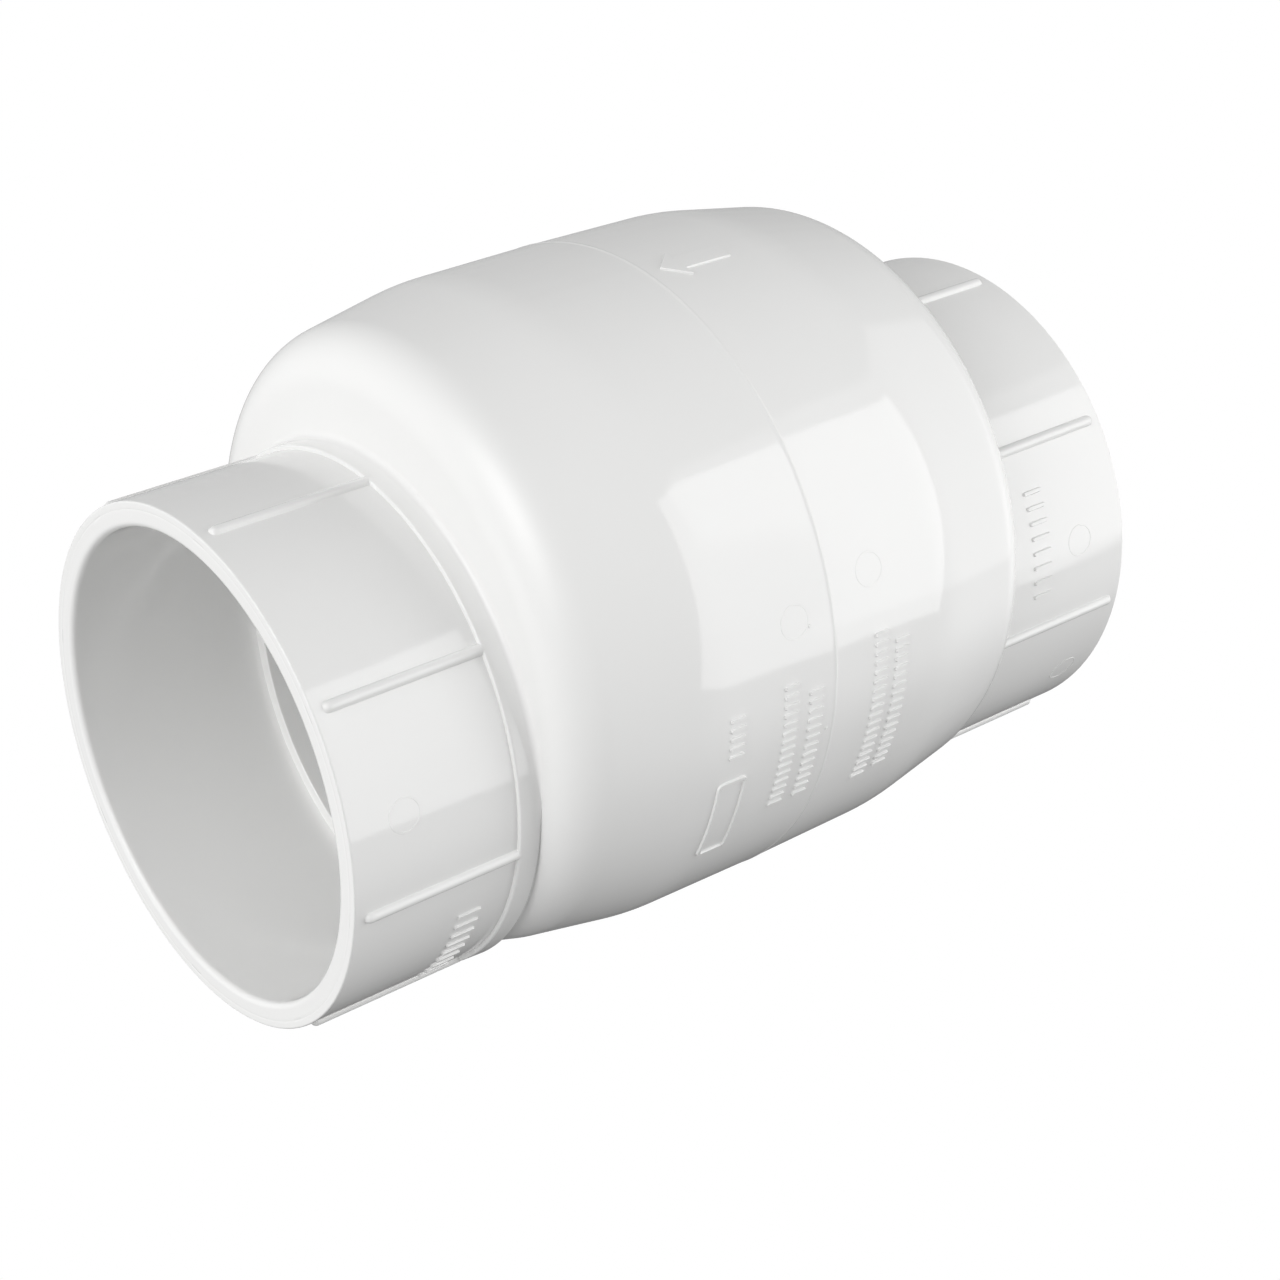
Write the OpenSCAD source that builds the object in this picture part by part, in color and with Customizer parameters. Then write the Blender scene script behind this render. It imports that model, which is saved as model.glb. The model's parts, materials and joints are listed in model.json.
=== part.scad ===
// Swing non-return valve with solvent-weld pipe sockets.
// The flow runs along +X and +Z is up. The origin is on the pipe axis, where the end of the inlet pipe seats.
// The barrel is eccentric: its axis lies above the pipe axis, which leaves room for the open flapper.

/* [Pipe sockets] */
// Outside diameter of the pipe that each socket takes
pipe_od = 114.3; // [112:0.1:117]
// Radial clearance between the pipe and its socket
socket_clearance = 0.1; // [0.05:0.05:0.3]
// Wall of a socket
socket_wall = 6.25; // [5.5:0.25:7]
// Depth of a socket, from its mouth to the pipe stop
socket_depth = 51.5; // [48:0.5:60]
// Bevel inside the mouth, which guides the pipe in
mouth_bevel = 1.3; // [0.4:0.1:1.5]
// Bevel round the outside of the mouth
rim_bevel = 0.4; // [0.3:0.1:1.2]
// Bore past the outlet pipe stop
outlet_bore_d = 108; // [104:0.5:110]
// Bore past the inlet pipe stop, which holds the seat ring
inlet_bore_d = 100; // [98:0.5:102]

/* [Socket ribs and collar] */
// Number of lengthwise ribs on a socket
rib_count = 8; // [4:1:12]
// Width of a rib
rib_width = 2.8; // [2:0.1:4]
// Height of a rib above the socket
rib_height = 1.2; // [0.6:0.1:1.3]
// Plain length between the mouth and the ribs
rib_setback = 2.8; // [2:0.1:8]
// Step from the socket up to the collar
collar_step = 1.1; // [0.5:0.1:1.2]
// Taper of the collar over its length
collar_rise = 0.2; // [0:0.05:0.6]
// Length of the collar, from its edge to the shoulder
collar_length = 5.75; // [4:0.25:9]
// Radius of the cove between the collar and the shoulder
collar_cove = 1.5; // [0.5:0.1:2]

/* [Barrel] */
// Distance between the two pipe stops
lay_length = 138; // [136:1:150]
// Thickness of the web inside each pipe stop, which closes the barrel round its port
stop_web = 6; // [4:0.25:7]
// Outside diameter of the barrel
barrel_d = 161.8; // [160:0.2:170]
// Height of the barrel axis above the pipe axis
barrel_rise = 15.4; // [15:0.1:18]
// Wall of the barrel
barrel_wall = 6; // [5:0.25:7]
// Length of the straight stretch in the middle of the barrel
barrel_flat = 63; // [50:1:70]
// Draft of that stretch in its mould, in degrees
barrel_draft = 0.6; // [0:0.1:1.5]
// Angle at which the barrel draws in towards its shoulders, in degrees
cone_angle = 10; // [7:0.5:12]
// Radius between the straight stretch and the cone
crown_radius = 60; // [40:1:90]
// Radius of the rounded shoulder edge
shoulder_fillet = 13; // [10:0.5:16]
// Wall of the keel, which closes the barrel round the pipe's line below
keel_wall = 4.9; // [4:0.1:5.5]
// Distance by which a shoulder stands out past the pipe stop
shoulder_proud = 2.15; // [1:0.05:4]

/* [Seam] */
// Length of the tongue on the inlet half
tongue_length = 6; // [4:0.5:9]
// Thickness of the tongue
tongue_wall = 2.9; // [2:0.1:3.2]
// Gap that the cement fills round the tongue
cement_gap = 0.1; // [0.05:0.05:0.2]
// Depth of the fine groove left on the outside of the seam
seam_groove = 0.4; // [0.2:0.1:0.6]

/* [Seat ring] */
// Lean of the seat away from upright
seat_angle = 25; // [22:0.5:27]
// Diameter of the port that the flapper closes
port_d = 84; // [80:0.5:85]
// Distance from the inlet pipe stop to the centre of the seat
seat_x = 40; // [39:0.5:42]
// Width of the raised lip round the port
lip_width = 3; // [2:0.25:4]
// Height of the lip
lip_height = 1.5; // [1:0.1:2]
// Thickness of the leaning flange behind the lip
seat_plate_t = 4; // [3:0.25:5]
// Length of the boss that holds the seat ring, from the pipe stop
boss_length = 10; // [9:0.5:11]
// Wall of that boss
boss_wall = 10; // [9:0.5:10.5]
// Thickness of the flange that is screwed to the boss
flange_t = 3.5; // [3:0.25:4]
// Gap between the flange and the barrel wall
flange_gap = 0.3; // [0.2:0.1:0.6]
// Radial clearance of the seat ring in its boss
spigot_clearance = 0.05; // [0.02:0.01:0.1]
// Wall of the seat ring at its inlet end
spigot_wall = 5.4; // [4.5:0.1:6]
// Bevel inside the inlet end of the ring, along its length
spigot_bevel = 4; // [2:0.5:6]
// Land left at the inlet end of the ring, outside that bevel
spigot_land = 1.5; // [1:0.1:2]

/* [Seat seal and screws] */
// Section of the O-ring round the seat ring
o_ring_section = 2.25; // [1.75:0.05:2.6]
// Room left round the O-ring section in its groove
o_ring_play = 0.05; // [0.02:0.01:0.1]
// Distance from the pipe stop to the O-ring
o_ring_x = 5.6; // [5:0.1:6.5]
// Shank diameter of a seat screw
screw_d = 3.3; // [3:0.1:3.6]
// Head diameter of a seat screw
screw_head_d = 7; // [6.4:0.1:7.2]
// Head height of a seat screw
screw_head_t = 2.5; // [2:0.1:3]
// Length of a seat screw under its head
screw_length = 10; // [8:0.5:10.5]
// Play of a screw in its holes
screw_play = 0.05; // [0.02:0.01:0.1]
// Gap between a screw head and the nozzle of the seat ring
head_room = 0.8; // [0.5:0.1:1.2]

/* [Flapper] */
// Overlap of the rubber facing past the seat lip
facing_overlap = 3; // [2:0.25:4]
// Thickness of the rubber facing
facing_t = 4; // [3:0.25:5]
// Gap between the closed facing and the lip
seal_gap = 0.1; // [0.05:0.05:0.3]
// Distance by which the facing stands out past the flapper disc
facing_proud = 2; // [1:0.25:3]
// Thickness of the flapper disc
disc_t = 5; // [4:0.25:6]
// Height of the rim on the back of the flapper disc
disc_rim_h = 2.5; // [1.5:0.25:3.5]
// Height of the spokes on the back of the flapper disc
spoke_h = 2.25; // [1.25:0.25:3.25]
// Thickness of the rim and of the spokes
disc_rib_t = 3; // [2:0.25:4]
// Number of spokes
spokes = 8; // [6:1:12]
// Diameter of the boss in the middle of the flapper disc
hub_d = 24; // [20:0.5:30]
// Height of that boss above the disc
hub_h = 4; // [3:0.25:6]
// Thickness of the two arms that carry the disc
arm_t = 5; // [4:0.25:6]
// Distance between the middles of the two arms
arm_spread = 18; // [16:0.5:20]
// Height by which the hub stands out past the arms
arm_drop = 0.4; // [0.2:0.1:1]
// Gap between the clamp plate and the wall of the port
clamp_gap = 4; // [3:0.25:6]
// Thickness of the clamp plate
clamp_t = 3; // [2:0.25:4]
// Angle through which the flapper opens
open_angle = 75; // [60:1:76]

/* [Clamp bolt] */
// Shank diameter of the clamp bolt
bolt_d = 8; // [6:0.5:8]
// Width across the flats of the bolt head and of the nut
bolt_flats = 13; // [11:0.5:13]
// Height of the bolt head
bolt_head_t = 5.3; // [4:0.1:6]
// Height of the lock nut
nut_t = 8; // [6:0.25:9]
// Length of thread that shows past the nut
bolt_tail = 1.5; // [0.5:0.25:2.5]
// Diameter of the two washers
washer_d = 16; // [15.5:0.5:18]
// Thickness of the two washers
washer_t = 1.6; // [1:0.1:2]
// Play of the bolt in its holes
bolt_play = 0.1; // [0.05:0.05:0.2]

/* [Hinge] */
// Diameter of the hinge pin
pin_d = 6; // [5:0.1:6.5]
// Distance from the seal face out to the hinge axis
hinge_out = 5; // [4:0.25:5.5]
// Gap between the facing and the hinge knuckle
hinge_gap = 2; // [1.5:0.25:2.25]
// Diameter of the hinge knuckle
knuckle_d = 12; // [11.5:0.25:12.5]
// Width of the hinge knuckle
knuckle_w = 28; // [26:0.5:32]
// Wall of a hinge bush
bush_wall = 1.45; // [1:0.05:1.7]
// Length of a hinge bush inside the knuckle
bush_length = 11; // [8:0.5:12]
// Thickness of the flange of a bush
bush_flange_t = 1; // [0.6:0.1:1.5]
// Running gap between a bush flange and its ear
ear_gap = 0.3; // [0.2:0.05:0.5]
// Thickness of an ear on the seat ring
ear_t = 5; // [4:0.25:6]
// Radial running clearance of the pin
pin_clearance = 0.05; // [0.02:0.01:0.08]
// Play of a bush in the knuckle
bush_play = 0.02; // [0.01:0.01:0.04]
// Thickness of a pin clip
clip_t = 0.9; // [0.7:0.1:1.2]
// Depth of the clip groove in the pin
clip_groove = 0.6; // [0.4:0.05:0.8]
// Outside diameter of a pin clip
clip_d = 10; // [9:0.25:11]
// Length of pin past its clip
pin_tail = 1.4; // [1:0.1:2]

/* [Flapper stops] */
// Thickness of each of the two ribs that stop the open flapper
stop_t = 4; // [3:0.25:6]
// Distance of each stop rib from the middle
stop_y = 24; // [20:0.5:28]
// Length of a stop rib
stop_length = 16; // [12:0.5:20]
// Gap left between the open flapper and the stop ribs
stop_gap = 0.4; // [0.3:0.05:1]

/* [Hidden] */

// The screws are spread evenly, one node each
seat_screws = 4;
// Facets of a full turn on revolved parts
turn = 96;
// Most that a chord of a drawn arc lies inside the true arc
arc_sagitta = 0.05;
// Length by which a cutter runs past the face that it cuts
past = 1;

pvc = [0.95, 0.95, 0.94];
rubber = [0.09, 0.09, 0.1];
steel = [0.72, 0.73, 0.75];
acetal = [0.88, 0.87, 0.82];

// Body sizes that follow from the ones above
socket_r = pipe_od / 2 + socket_clearance;
socket_outer_r = socket_r + socket_wall;
collar_r = socket_outer_r + collar_step;
barrel_r = barrel_d / 2;
seam_x = lay_length / 2;
shoulder_u = lay_length / 2 + shoulder_proud;
stop_u = lay_length / 2;
mouth_u = stop_u + socket_depth;
collar_edge_u = shoulder_u + collar_length;
flat_end_u = barrel_flat / 2;
flat_end_r = barrel_r - flat_end_u * tan(barrel_draft);
crown_u = flat_end_u - crown_radius * sin(barrel_draft);
crown_r = flat_end_r - crown_radius * cos(barrel_draft);
cone_u = crown_u + crown_radius * sin(cone_angle);
cone_r = crown_r + crown_radius * cos(cone_angle);
fillet_u = shoulder_u - shoulder_fillet;
fillet_r = cone_r - (shoulder_fillet + (fillet_u - cone_u) * sin(cone_angle)) / cos(cone_angle);
cavity_u = stop_u - stop_web;
keel_void_r = socket_outer_r - keel_wall;
inlet_bore_r = inlet_bore_d / 2;
outlet_bore_r = outlet_bore_d / 2;

// Seat ring sizes
port_r = port_d / 2;
lip_r = port_r + lip_width;
spigot_r = inlet_bore_r - spigot_clearance;
spigot_bore_r = spigot_r - spigot_wall;
spigot_start = 1;
groove_r = spigot_r - o_ring_section - o_ring_play;
groove_half = o_ring_section * 0.7;
flange_r = keel_void_r - flange_gap;
flange_x = boss_length + flange_t;
screw_circle_r = flange_r - screw_head_d / 2;
screw_turn = 45;
nozzle_r = screw_circle_r - screw_head_d / 2 - head_room;

// Flapper sizes, measured out from the seal face
facing_r = lip_r + facing_overlap;
disc_r = facing_r - facing_proud;
disc_front = seal_gap + facing_t;
disc_back = disc_front + disc_t;
rim_back = disc_back + disc_rim_h;
hub_back = disc_back + hub_h;
clamp_r = port_r - clamp_gap;
clamp_front = seal_gap - clamp_t;
washer_front = clamp_front - washer_t;
nut_front = hub_back + washer_t;
bolt_end = nut_front + nut_t + bolt_tail;
knuckle_r = knuckle_d / 2;
hinge_up = facing_r + hinge_gap + knuckle_r;
pin_r = pin_d / 2;
bush_bore_r = pin_r + pin_clearance;
bush_r = bush_bore_r + bush_wall;
ear_in = knuckle_w / 2 + bush_flange_t + ear_gap;
ear_out = ear_in + ear_t;
clip_y = ear_out + ear_gap;
pin_half = clip_y + clip_t + pin_tail;

// A profile of [radius, distance along X], turned about the X axis
module revolve_x(points, facets = turn) {
    rotate([0, 90, 0])
        rotate_extrude($fn = facets)
            polygon(points);
}

// A plain round bar along X, from one distance to another
module bar_x(from, to, r, facets = turn) {
    translate([from, 0, 0])
        rotate([0, 90, 0])
            cylinder(h = to - from, r = r, $fn = facets);
}

// A plain round bar across the valve, from one side to the other
module bar_y(from, to, r, facets = 48) {
    translate([0, to, 0])
        rotate([90, 0, 0])
            cylinder(h = to - from, r = r, $fn = facets);
}

// Points of an arc in the [radius, distance] plane, its angle measured from the radius
function arc_steps(r, from, to) = max(2, ceil(abs(to - from) / (2 * acos(1 - arc_sagitta / r))));

function arc(centre, r, from, to, skip = 0) =
    let (steps = arc_steps(r, from, to))
    [for (i = [skip : steps])
        let (a = from + (to - from) * i / steps)
        [centre[0] + r * cos(a), centre[1] + r * sin(a)]];

// Half profile of the barrel, taken in by an even wall: straight middle, crown curve, cone, rounded shoulder
function barrel_profile(inset, start) = concat(
    [[0, start], [barrel_r - inset, start]],
    start < 0 ? [[barrel_r - inset, 0]] : [],
    arc([crown_r, crown_u], crown_radius - inset, barrel_draft, cone_angle),
    arc([fillet_r, fillet_u], shoulder_fillet - inset, cone_angle, 90),
    [[0, shoulder_u - inset]]
);

module barrel_half(inset, start = 0) {
    translate([0, 0, barrel_rise])
        revolve_x(barrel_profile(inset, start));
}

// A rib is a half-sunk round bead with a ball at its free end
module socket_ribs() {
    bead_r = (rib_width * rib_width / 4 + rib_height * rib_height) / (2 * rib_height);
    bead_at = socket_outer_r + rib_height - bead_r;
    free_end = mouth_u - rib_setback - bead_r;
    for (i = [0 : rib_count - 1])
        rotate([i * 360 / rib_count, 0, 0])
            translate([0, 0, bead_at]) {
                bar_x(collar_edge_u - past, free_end, bead_r, 32);
                translate([free_end, 0, 0])
                    sphere(r = bead_r, $fn = 32);
            }
}

// Radius of the tapered collar at a distance from the seam
function collar_at(u) = collar_r + collar_rise * (collar_edge_u - u) / collar_length;

// Cove between the collar and the flat of the shoulder, only where that flat stands behind it
module shoulder_cove() {
    foot_u = shoulder_u + collar_cove;
    foot_r = collar_at(foot_u);
    intersection() {
        revolve_x(concat(
            [[foot_r - past, foot_u], [foot_r - past, shoulder_u - past], [foot_r + collar_cove, shoulder_u - past]],
            [for (a = [0 : 22.5 : 90]) [foot_r, foot_u] + collar_cove * [1 - sin(a), -cos(a)]]
        ));
        translate([0, 0, barrel_rise])
            bar_x(shoulder_u - 2 * past, foot_u + past, fillet_r);
    }
}

// Outer skin of one half, with the seam at 0 and the mouth along +X
module half_skin() {
    barrel_half(0);
    shoulder_cove();
    revolve_x([
        [0, 0],
        [socket_outer_r, 0],
        [socket_outer_r, shoulder_u],
        [collar_at(shoulder_u), shoulder_u],
        [collar_r, collar_edge_u],
        [socket_outer_r, collar_edge_u],
        [socket_outer_r, mouth_u - rim_bevel],
        [socket_outer_r - rim_bevel, mouth_u],
        [0, mouth_u],
    ]);
    socket_ribs();
}

// Space inside one half, up to the web that carries the pipe stop
module half_cavity() {
    intersection() {
        union() {
            barrel_half(barrel_wall, -past);
            bar_x(-past, shoulder_u, keel_void_r);
        }
        bar_x(-2 * past, cavity_u, 2 * barrel_r);
    }
}

// Socket bore, its mouth bevel and the bore past the pipe stop
module half_bores(bore_r) {
    revolve_x([
        [0, 0],
        [bore_r, 0],
        [bore_r, stop_u],
        [socket_r, stop_u],
        [socket_r, mouth_u - mouth_bevel],
        [socket_r + mouth_bevel + past, mouth_u + past],
        [0, mouth_u + past],
    ]);
}

// Fine groove left round the outside of the seam
module seam_bevel() {
    translate([0, 0, barrel_rise])
        revolve_x([
            [barrel_r - seam_groove, -past],
            [barrel_r - seam_groove, 0],
            [barrel_r, seam_groove],
            [barrel_r + past, seam_groove],
            [barrel_r + past, -past],
        ]);
}

// Places a half so that its mouth points against the flow
module at_inlet() {
    translate([seam_x, 0, 0])
        mirror([1, 0, 0])
            children();
}

module at_outlet() {
    translate([seam_x, 0, 0])
        children();
}

// Places a piece on the seat: its X runs out of the seal face and its Z up along it
module on_seat() {
    translate([seat_x, 0, 0])
        rotate([0, -seat_angle, 0])
            children();
}

module at_hinge() {
    on_seat()
        translate([hinge_out, 0, hinge_up])
            children();
}

// Places a piece of the flapper as it stands when fully open
module on_open_flapper() {
    at_hinge()
        rotate([0, -open_angle, 0])
            translate([-hinge_out, 0, -hinge_up])
                children();
}

module at_seat_screw(i) {
    rotate([screw_turn + (i - 1) * 360 / seat_screws, 0, 0])
        translate([flange_x, 0, screw_circle_r])
            children();
}

// Inlet half: socket, half barrel, tongue and the boss that holds the seat ring
module inlet_body() {
    color(pvc)
        difference() {
            union() {
                at_inlet() {
                    difference() {
                        half_skin();
                        half_cavity();
                        seam_bevel();
                    }
                    translate([0, 0, barrel_rise])
                        revolve_x([
                            [barrel_r - barrel_wall, cement_gap - tongue_length],
                            [barrel_r - barrel_wall + tongue_wall, cement_gap - tongue_length],
                            [barrel_r - barrel_wall + tongue_wall, past],
                            [barrel_r - barrel_wall, past],
                        ]);
                }
                bar_x(0, boss_length, inlet_bore_r + boss_wall);
            }
            at_inlet()
                half_bores(inlet_bore_r);
            for (i = [1 : seat_screws])
                at_seat_screw(i)
                    bar_x(-screw_length - past, past, screw_d / 2 + screw_play, 24);
        }
}

// Outlet half: socket, half barrel, groove for the tongue and the two flapper stops
module outlet_body() {
    color(pvc)
        difference() {
            union() {
                at_outlet()
                    difference() {
                        half_skin();
                        half_cavity();
                        seam_bevel();
                        translate([0, 0, barrel_rise])
                            revolve_x([
                                [0, -past],
                                [barrel_r - barrel_wall + tongue_wall + cement_gap, -past],
                                [barrel_r - barrel_wall + tongue_wall + cement_gap, tongue_length],
                                [0, tongue_length],
                            ]);
                    }
                intersection() {
                    at_outlet()
                        barrel_half(barrel_wall / 2);
                    for (side = [-1, 1])
                        flapper_stop(side);
                }
            }
            at_outlet()
                half_bores(outlet_bore_r);
        }
}

// A stop rib stands on the roof of the barrel, square to the back of the open flapper
module flapper_stop(side) {
    reach = sqrt(disc_r * disc_r - stop_y * stop_y);
    on_open_flapper()
        translate([rim_back + stop_gap, side * stop_y - stop_t / 2, -reach])
            cube([barrel_r, stop_t, stop_length]);
}

// Ear of the seat ring, drawn as seen from the side
module ear() {
    root = -hinge_out - lip_height - seat_plate_t * 0.8;
    face = -hinge_out - lip_height;
    facing_edge = -knuckle_r - hinge_gap * 0.8;
    linear_extrude(height = ear_t)
        union() {
            circle(r = knuckle_r, $fn = 48);
            polygon([
                [root, -knuckle_r * 2.4],
                [root, -knuckle_r * 0.4],
                [face, knuckle_r * 0.1],
                [-knuckle_r * 0.5, knuckle_r * 0.8],
                [knuckle_r * 0.8, -knuckle_r * 0.5],
                [0, facing_edge],
                [face + lip_height * 0.5, facing_edge],
                [face, -knuckle_r * 2.4],
            ]);
        }
}

// Everything behind a plane that leans with the seat, at a distance from the seal face
module behind_seat(distance) {
    on_seat()
        bar_x(distance - 3 * port_d, distance, 2 * port_d);
}

// Seat ring: spigot, screwed flange, nozzle cut off along the seat, raised lip and two hinge ears
module seat_ring() {
    color(pvc)
        difference() {
            union() {
                bar_x(spigot_start, boss_length + past, spigot_r);
                bar_x(boss_length, flange_x, flange_r);
                intersection() {
                    bar_x(boss_length, seat_x + port_d, nozzle_r);
                    behind_seat(-lip_height);
                }
                on_seat()
                    bar_x(-lip_height - past, 0, lip_r);
                for (side = [-1, 1])
                    at_hinge()
                        translate([0, side * (ear_in + ear_t / 2) + ear_t / 2, 0])
                            rotate([90, 0, 0])
                                ear();
            }
            intersection() {
                bar_x(0, seat_x + port_d, spigot_bore_r);
                behind_seat(-lip_height - seat_plate_t);
            }
            on_seat()
                bar_x(-lip_height - seat_plate_t - past, past, port_r);
            revolve_x([
                [spigot_bore_r - past, 0],
                [spigot_r - spigot_land, 0],
                [spigot_r - spigot_land, spigot_start],
                [spigot_bore_r, spigot_bevel],
                [spigot_bore_r - past, spigot_bevel],
            ]);
            revolve_x([
                [groove_r, o_ring_x - groove_half],
                [spigot_r + past, o_ring_x - groove_half],
                [spigot_r + past, o_ring_x + groove_half],
                [groove_r, o_ring_x + groove_half],
            ]);
            at_hinge()
                bar_y(-ear_out - past, ear_out + past, pin_r + pin_clearance);
            for (i = [1 : seat_screws])
                at_seat_screw(i)
                    bar_x(-flange_t - past, past, screw_d / 2 + screw_play, 24);
        }
}

module seat_o_ring() {
    color(rubber)
        translate([o_ring_x, 0, 0])
            rotate([0, 90, 0])
                rotate_extrude($fn = turn)
                    translate([spigot_r - o_ring_section / 2, 0])
                        circle(d = o_ring_section, $fn = 24);
}

// Pan-head screw with a cross recess
module seat_screw(i) {
    color(steel)
        at_seat_screw(i)
            difference() {
                union() {
                    bar_x(-screw_length, 0, screw_d / 2, 24);
                    revolve_x([
                        [0, 0],
                        [screw_head_d / 2, 0],
                        [screw_head_d / 2, screw_head_t * 0.5],
                        [screw_head_d * 0.4, screw_head_t * 0.85],
                        [screw_head_d * 0.25, screw_head_t],
                        [0, screw_head_t],
                    ], 32);
                }
                for (a = [0, 90])
                    rotate([a, 0, 0])
                        translate([screw_head_t * 0.4, -screw_head_d * 0.3, -0.5])
                            cube([screw_head_t, screw_head_d * 0.6, 1]);
            }
}

// Pin with a bevelled end and a clip groove at each side
module hinge_pin() {
    bevel = 0.5;
    groove_r = pin_r - clip_groove;
    color(steel)
        at_hinge()
            rotate([90, 0, 0])
                rotate_extrude($fn = 48)
                    polygon([
                        [0, -pin_half],
                        [pin_r - bevel, -pin_half],
                        [pin_r, -pin_half + bevel],
                        [pin_r, -clip_y - clip_t],
                        [groove_r, -clip_y - clip_t],
                        [groove_r, -clip_y],
                        [pin_r, -clip_y],
                        [pin_r, clip_y],
                        [groove_r, clip_y],
                        [groove_r, clip_y + clip_t],
                        [pin_r, clip_y + clip_t],
                        [pin_r, pin_half - bevel],
                        [pin_r - bevel, pin_half],
                        [0, pin_half],
                    ]);
}

// Open retaining clip, snapped into the groove of the pin from above
module pin_clip(side) {
    play = 0.05;
    color(steel)
        at_hinge()
            translate([0, side * (clip_y + clip_t / 2), 0])
                difference() {
                    bar_y(-clip_t / 2 + play, clip_t / 2 - play, clip_d / 2, 36);
                    bar_y(-clip_t, clip_t, pin_r - clip_groove + play, 36);
                    translate([-pin_r * 0.7, -clip_t, -clip_d])
                        cube([pin_r * 1.4, 2 * clip_t, clip_d]);
                    for (a = [-60, 60])
                        rotate([0, a, 0])
                            translate([0, 0, pin_r * 1.05])
                                bar_y(-clip_t, clip_t, pin_r * 0.28, 16);
                }
}

// Arm of the flapper, drawn as seen from the side: from the knuckle down over the disc
module flapper_arm() {
    linear_extrude(height = arm_t)
        polygon([
            [disc_front + past, hinge_up - knuckle_r * 0.5],
            [hinge_out + knuckle_r * 0.9, hinge_up - knuckle_r * 0.3],
            [hub_back - arm_drop, disc_r * 0.55],
            [hub_back - arm_drop, -hub_d * 0.6],
            [disc_back - past, -disc_r * 0.75],
            [disc_front + past, -disc_r * 0.75],
        ]);
}

// Flapper disc: plate with a rim and spokes on its back, hub, two arms and the hinge knuckle
module flapper_disc() {
    color(pvc)
        on_seat()
            difference() {
                union() {
                    revolve_x([
                        [0, disc_front],
                        [disc_r, disc_front],
                        [disc_r, rim_back - 0.6],
                        [disc_r - 0.6, rim_back],
                        [disc_r - disc_rib_t, rim_back],
                        [disc_r - disc_rib_t - 0.6, disc_back],
                        [hub_d / 2 + 1, disc_back],
                        [hub_d / 2, hub_back],
                        [0, hub_back],
                    ]);
                    for (i = [0 : spokes - 1])
                        rotate([(i + 0.5) * 360 / spokes, 0, 0])
                            translate([disc_back - past, -disc_rib_t / 2, hub_d / 4])
                                cube([spoke_h + past, disc_rib_t, disc_r - disc_rib_t / 2 - hub_d / 4]);
                    for (side = [-1, 1])
                        translate([0, side * arm_spread / 2 + arm_t / 2, 0])
                            rotate([90, 0, 0])
                                flapper_arm();
                    translate([hinge_out, 0, hinge_up])
                        bar_y(-knuckle_w / 2, knuckle_w / 2, knuckle_r);
                }
                bar_x(disc_front - past, bolt_end, bolt_d / 2 + bolt_play, 36);
                translate([hinge_out, 0, hinge_up])
                    bar_y(-knuckle_w / 2 - past, knuckle_w / 2 + past, bush_r + bush_play);
            }
}

// Rubber facing with a rounded edge, clamped to the front of the disc
module flapper_facing() {
    edge = facing_t / 4;
    color(rubber)
        on_seat()
            revolve_x(concat(
                [[bolt_d / 2 + bolt_play, seal_gap]],
                arc([facing_r - edge, seal_gap + edge], edge, -90, 0),
                arc([facing_r - edge, disc_front - edge], edge, 0, 90),
                [[bolt_d / 2 + bolt_play, disc_front]]
            ));
}

// Plate that clamps the facing, with a bevelled front edge
module clamp_plate() {
    color(steel)
        on_seat()
            revolve_x([
                [bolt_d / 2 + bolt_play, clamp_front],
                [clamp_r - clamp_t / 3, clamp_front],
                [clamp_r, clamp_front + clamp_t / 3],
                [clamp_r, seal_gap],
                [bolt_d / 2 + bolt_play, seal_gap],
            ]);
}

module washer(from) {
    color(steel)
        on_seat()
            difference() {
                bar_x(from, from + washer_t, washer_d / 2, 48);
                bar_x(from - past, from + washer_t + past, bolt_d / 2 + bolt_play, 36);
            }
}

// A six-sided bar with its corners turned down at one end
module hexagon(from, to, crown_at) {
    across_corners = bolt_flats / cos(30);
    intersection() {
        bar_x(from, to, across_corners / 2, 6);
        revolve_x([
            [0, from],
            [crown_at == from ? bolt_flats * 0.48 : across_corners, from],
            [across_corners, (from + to) / 2],
            [crown_at == to ? bolt_flats * 0.48 : across_corners, to],
            [0, to],
        ], 48);
    }
}

module clamp_bolt() {
    color(steel)
        on_seat() {
            hexagon(washer_front - bolt_head_t, washer_front, washer_front - bolt_head_t);
            bar_x(washer_front - past, bolt_end, bolt_d / 2, 36);
        }
}

// Lock nut with a round collar at its outer end
module lock_nut() {
    collar = nut_t * 0.3;
    color(steel)
        on_seat()
            difference() {
                union() {
                    hexagon(nut_front, nut_front + nut_t - collar, nut_front + nut_t - collar);
                    bar_x(nut_front, nut_front + nut_t, bolt_flats * 0.45, 48);
                }
                bar_x(nut_front - past, bolt_end, bolt_d / 2 + bolt_play, 36);
            }
}

// Flanged bush, pressed into one end of the knuckle
module hinge_bush(side) {
    inner = knuckle_w / 2 - bush_length;
    face = knuckle_w / 2;
    color(acetal)
        at_hinge()
            rotate([-90 * side, 0, 0])
                rotate_extrude($fn = 48)
                    polygon([
                        [bush_bore_r, inner],
                        [bush_r, inner],
                        [bush_r, face],
                        [knuckle_r * 0.9, face],
                        [knuckle_r * 0.9, face + bush_flange_t],
                        [bush_bore_r, face + bush_flange_t],
                    ]);
}

inlet_body();
outlet_body();
seat_ring();
seat_o_ring();
seat_screw(1);  // seat_screw_1
seat_screw(2);  // seat_screw_2
seat_screw(3);  // seat_screw_3
seat_screw(4);  // seat_screw_4
hinge_pin();
pin_clip(1);  // pin_clip_left
pin_clip(-1);  // pin_clip_right
flapper_disc();
flapper_facing();
clamp_plate();
clamp_bolt();
washer(washer_front);  // bolt_washer
washer(hub_back);  // nut_washer
lock_nut();
hinge_bush(1);  // hinge_bush_left
hinge_bush(-1);  // hinge_bush_right
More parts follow.
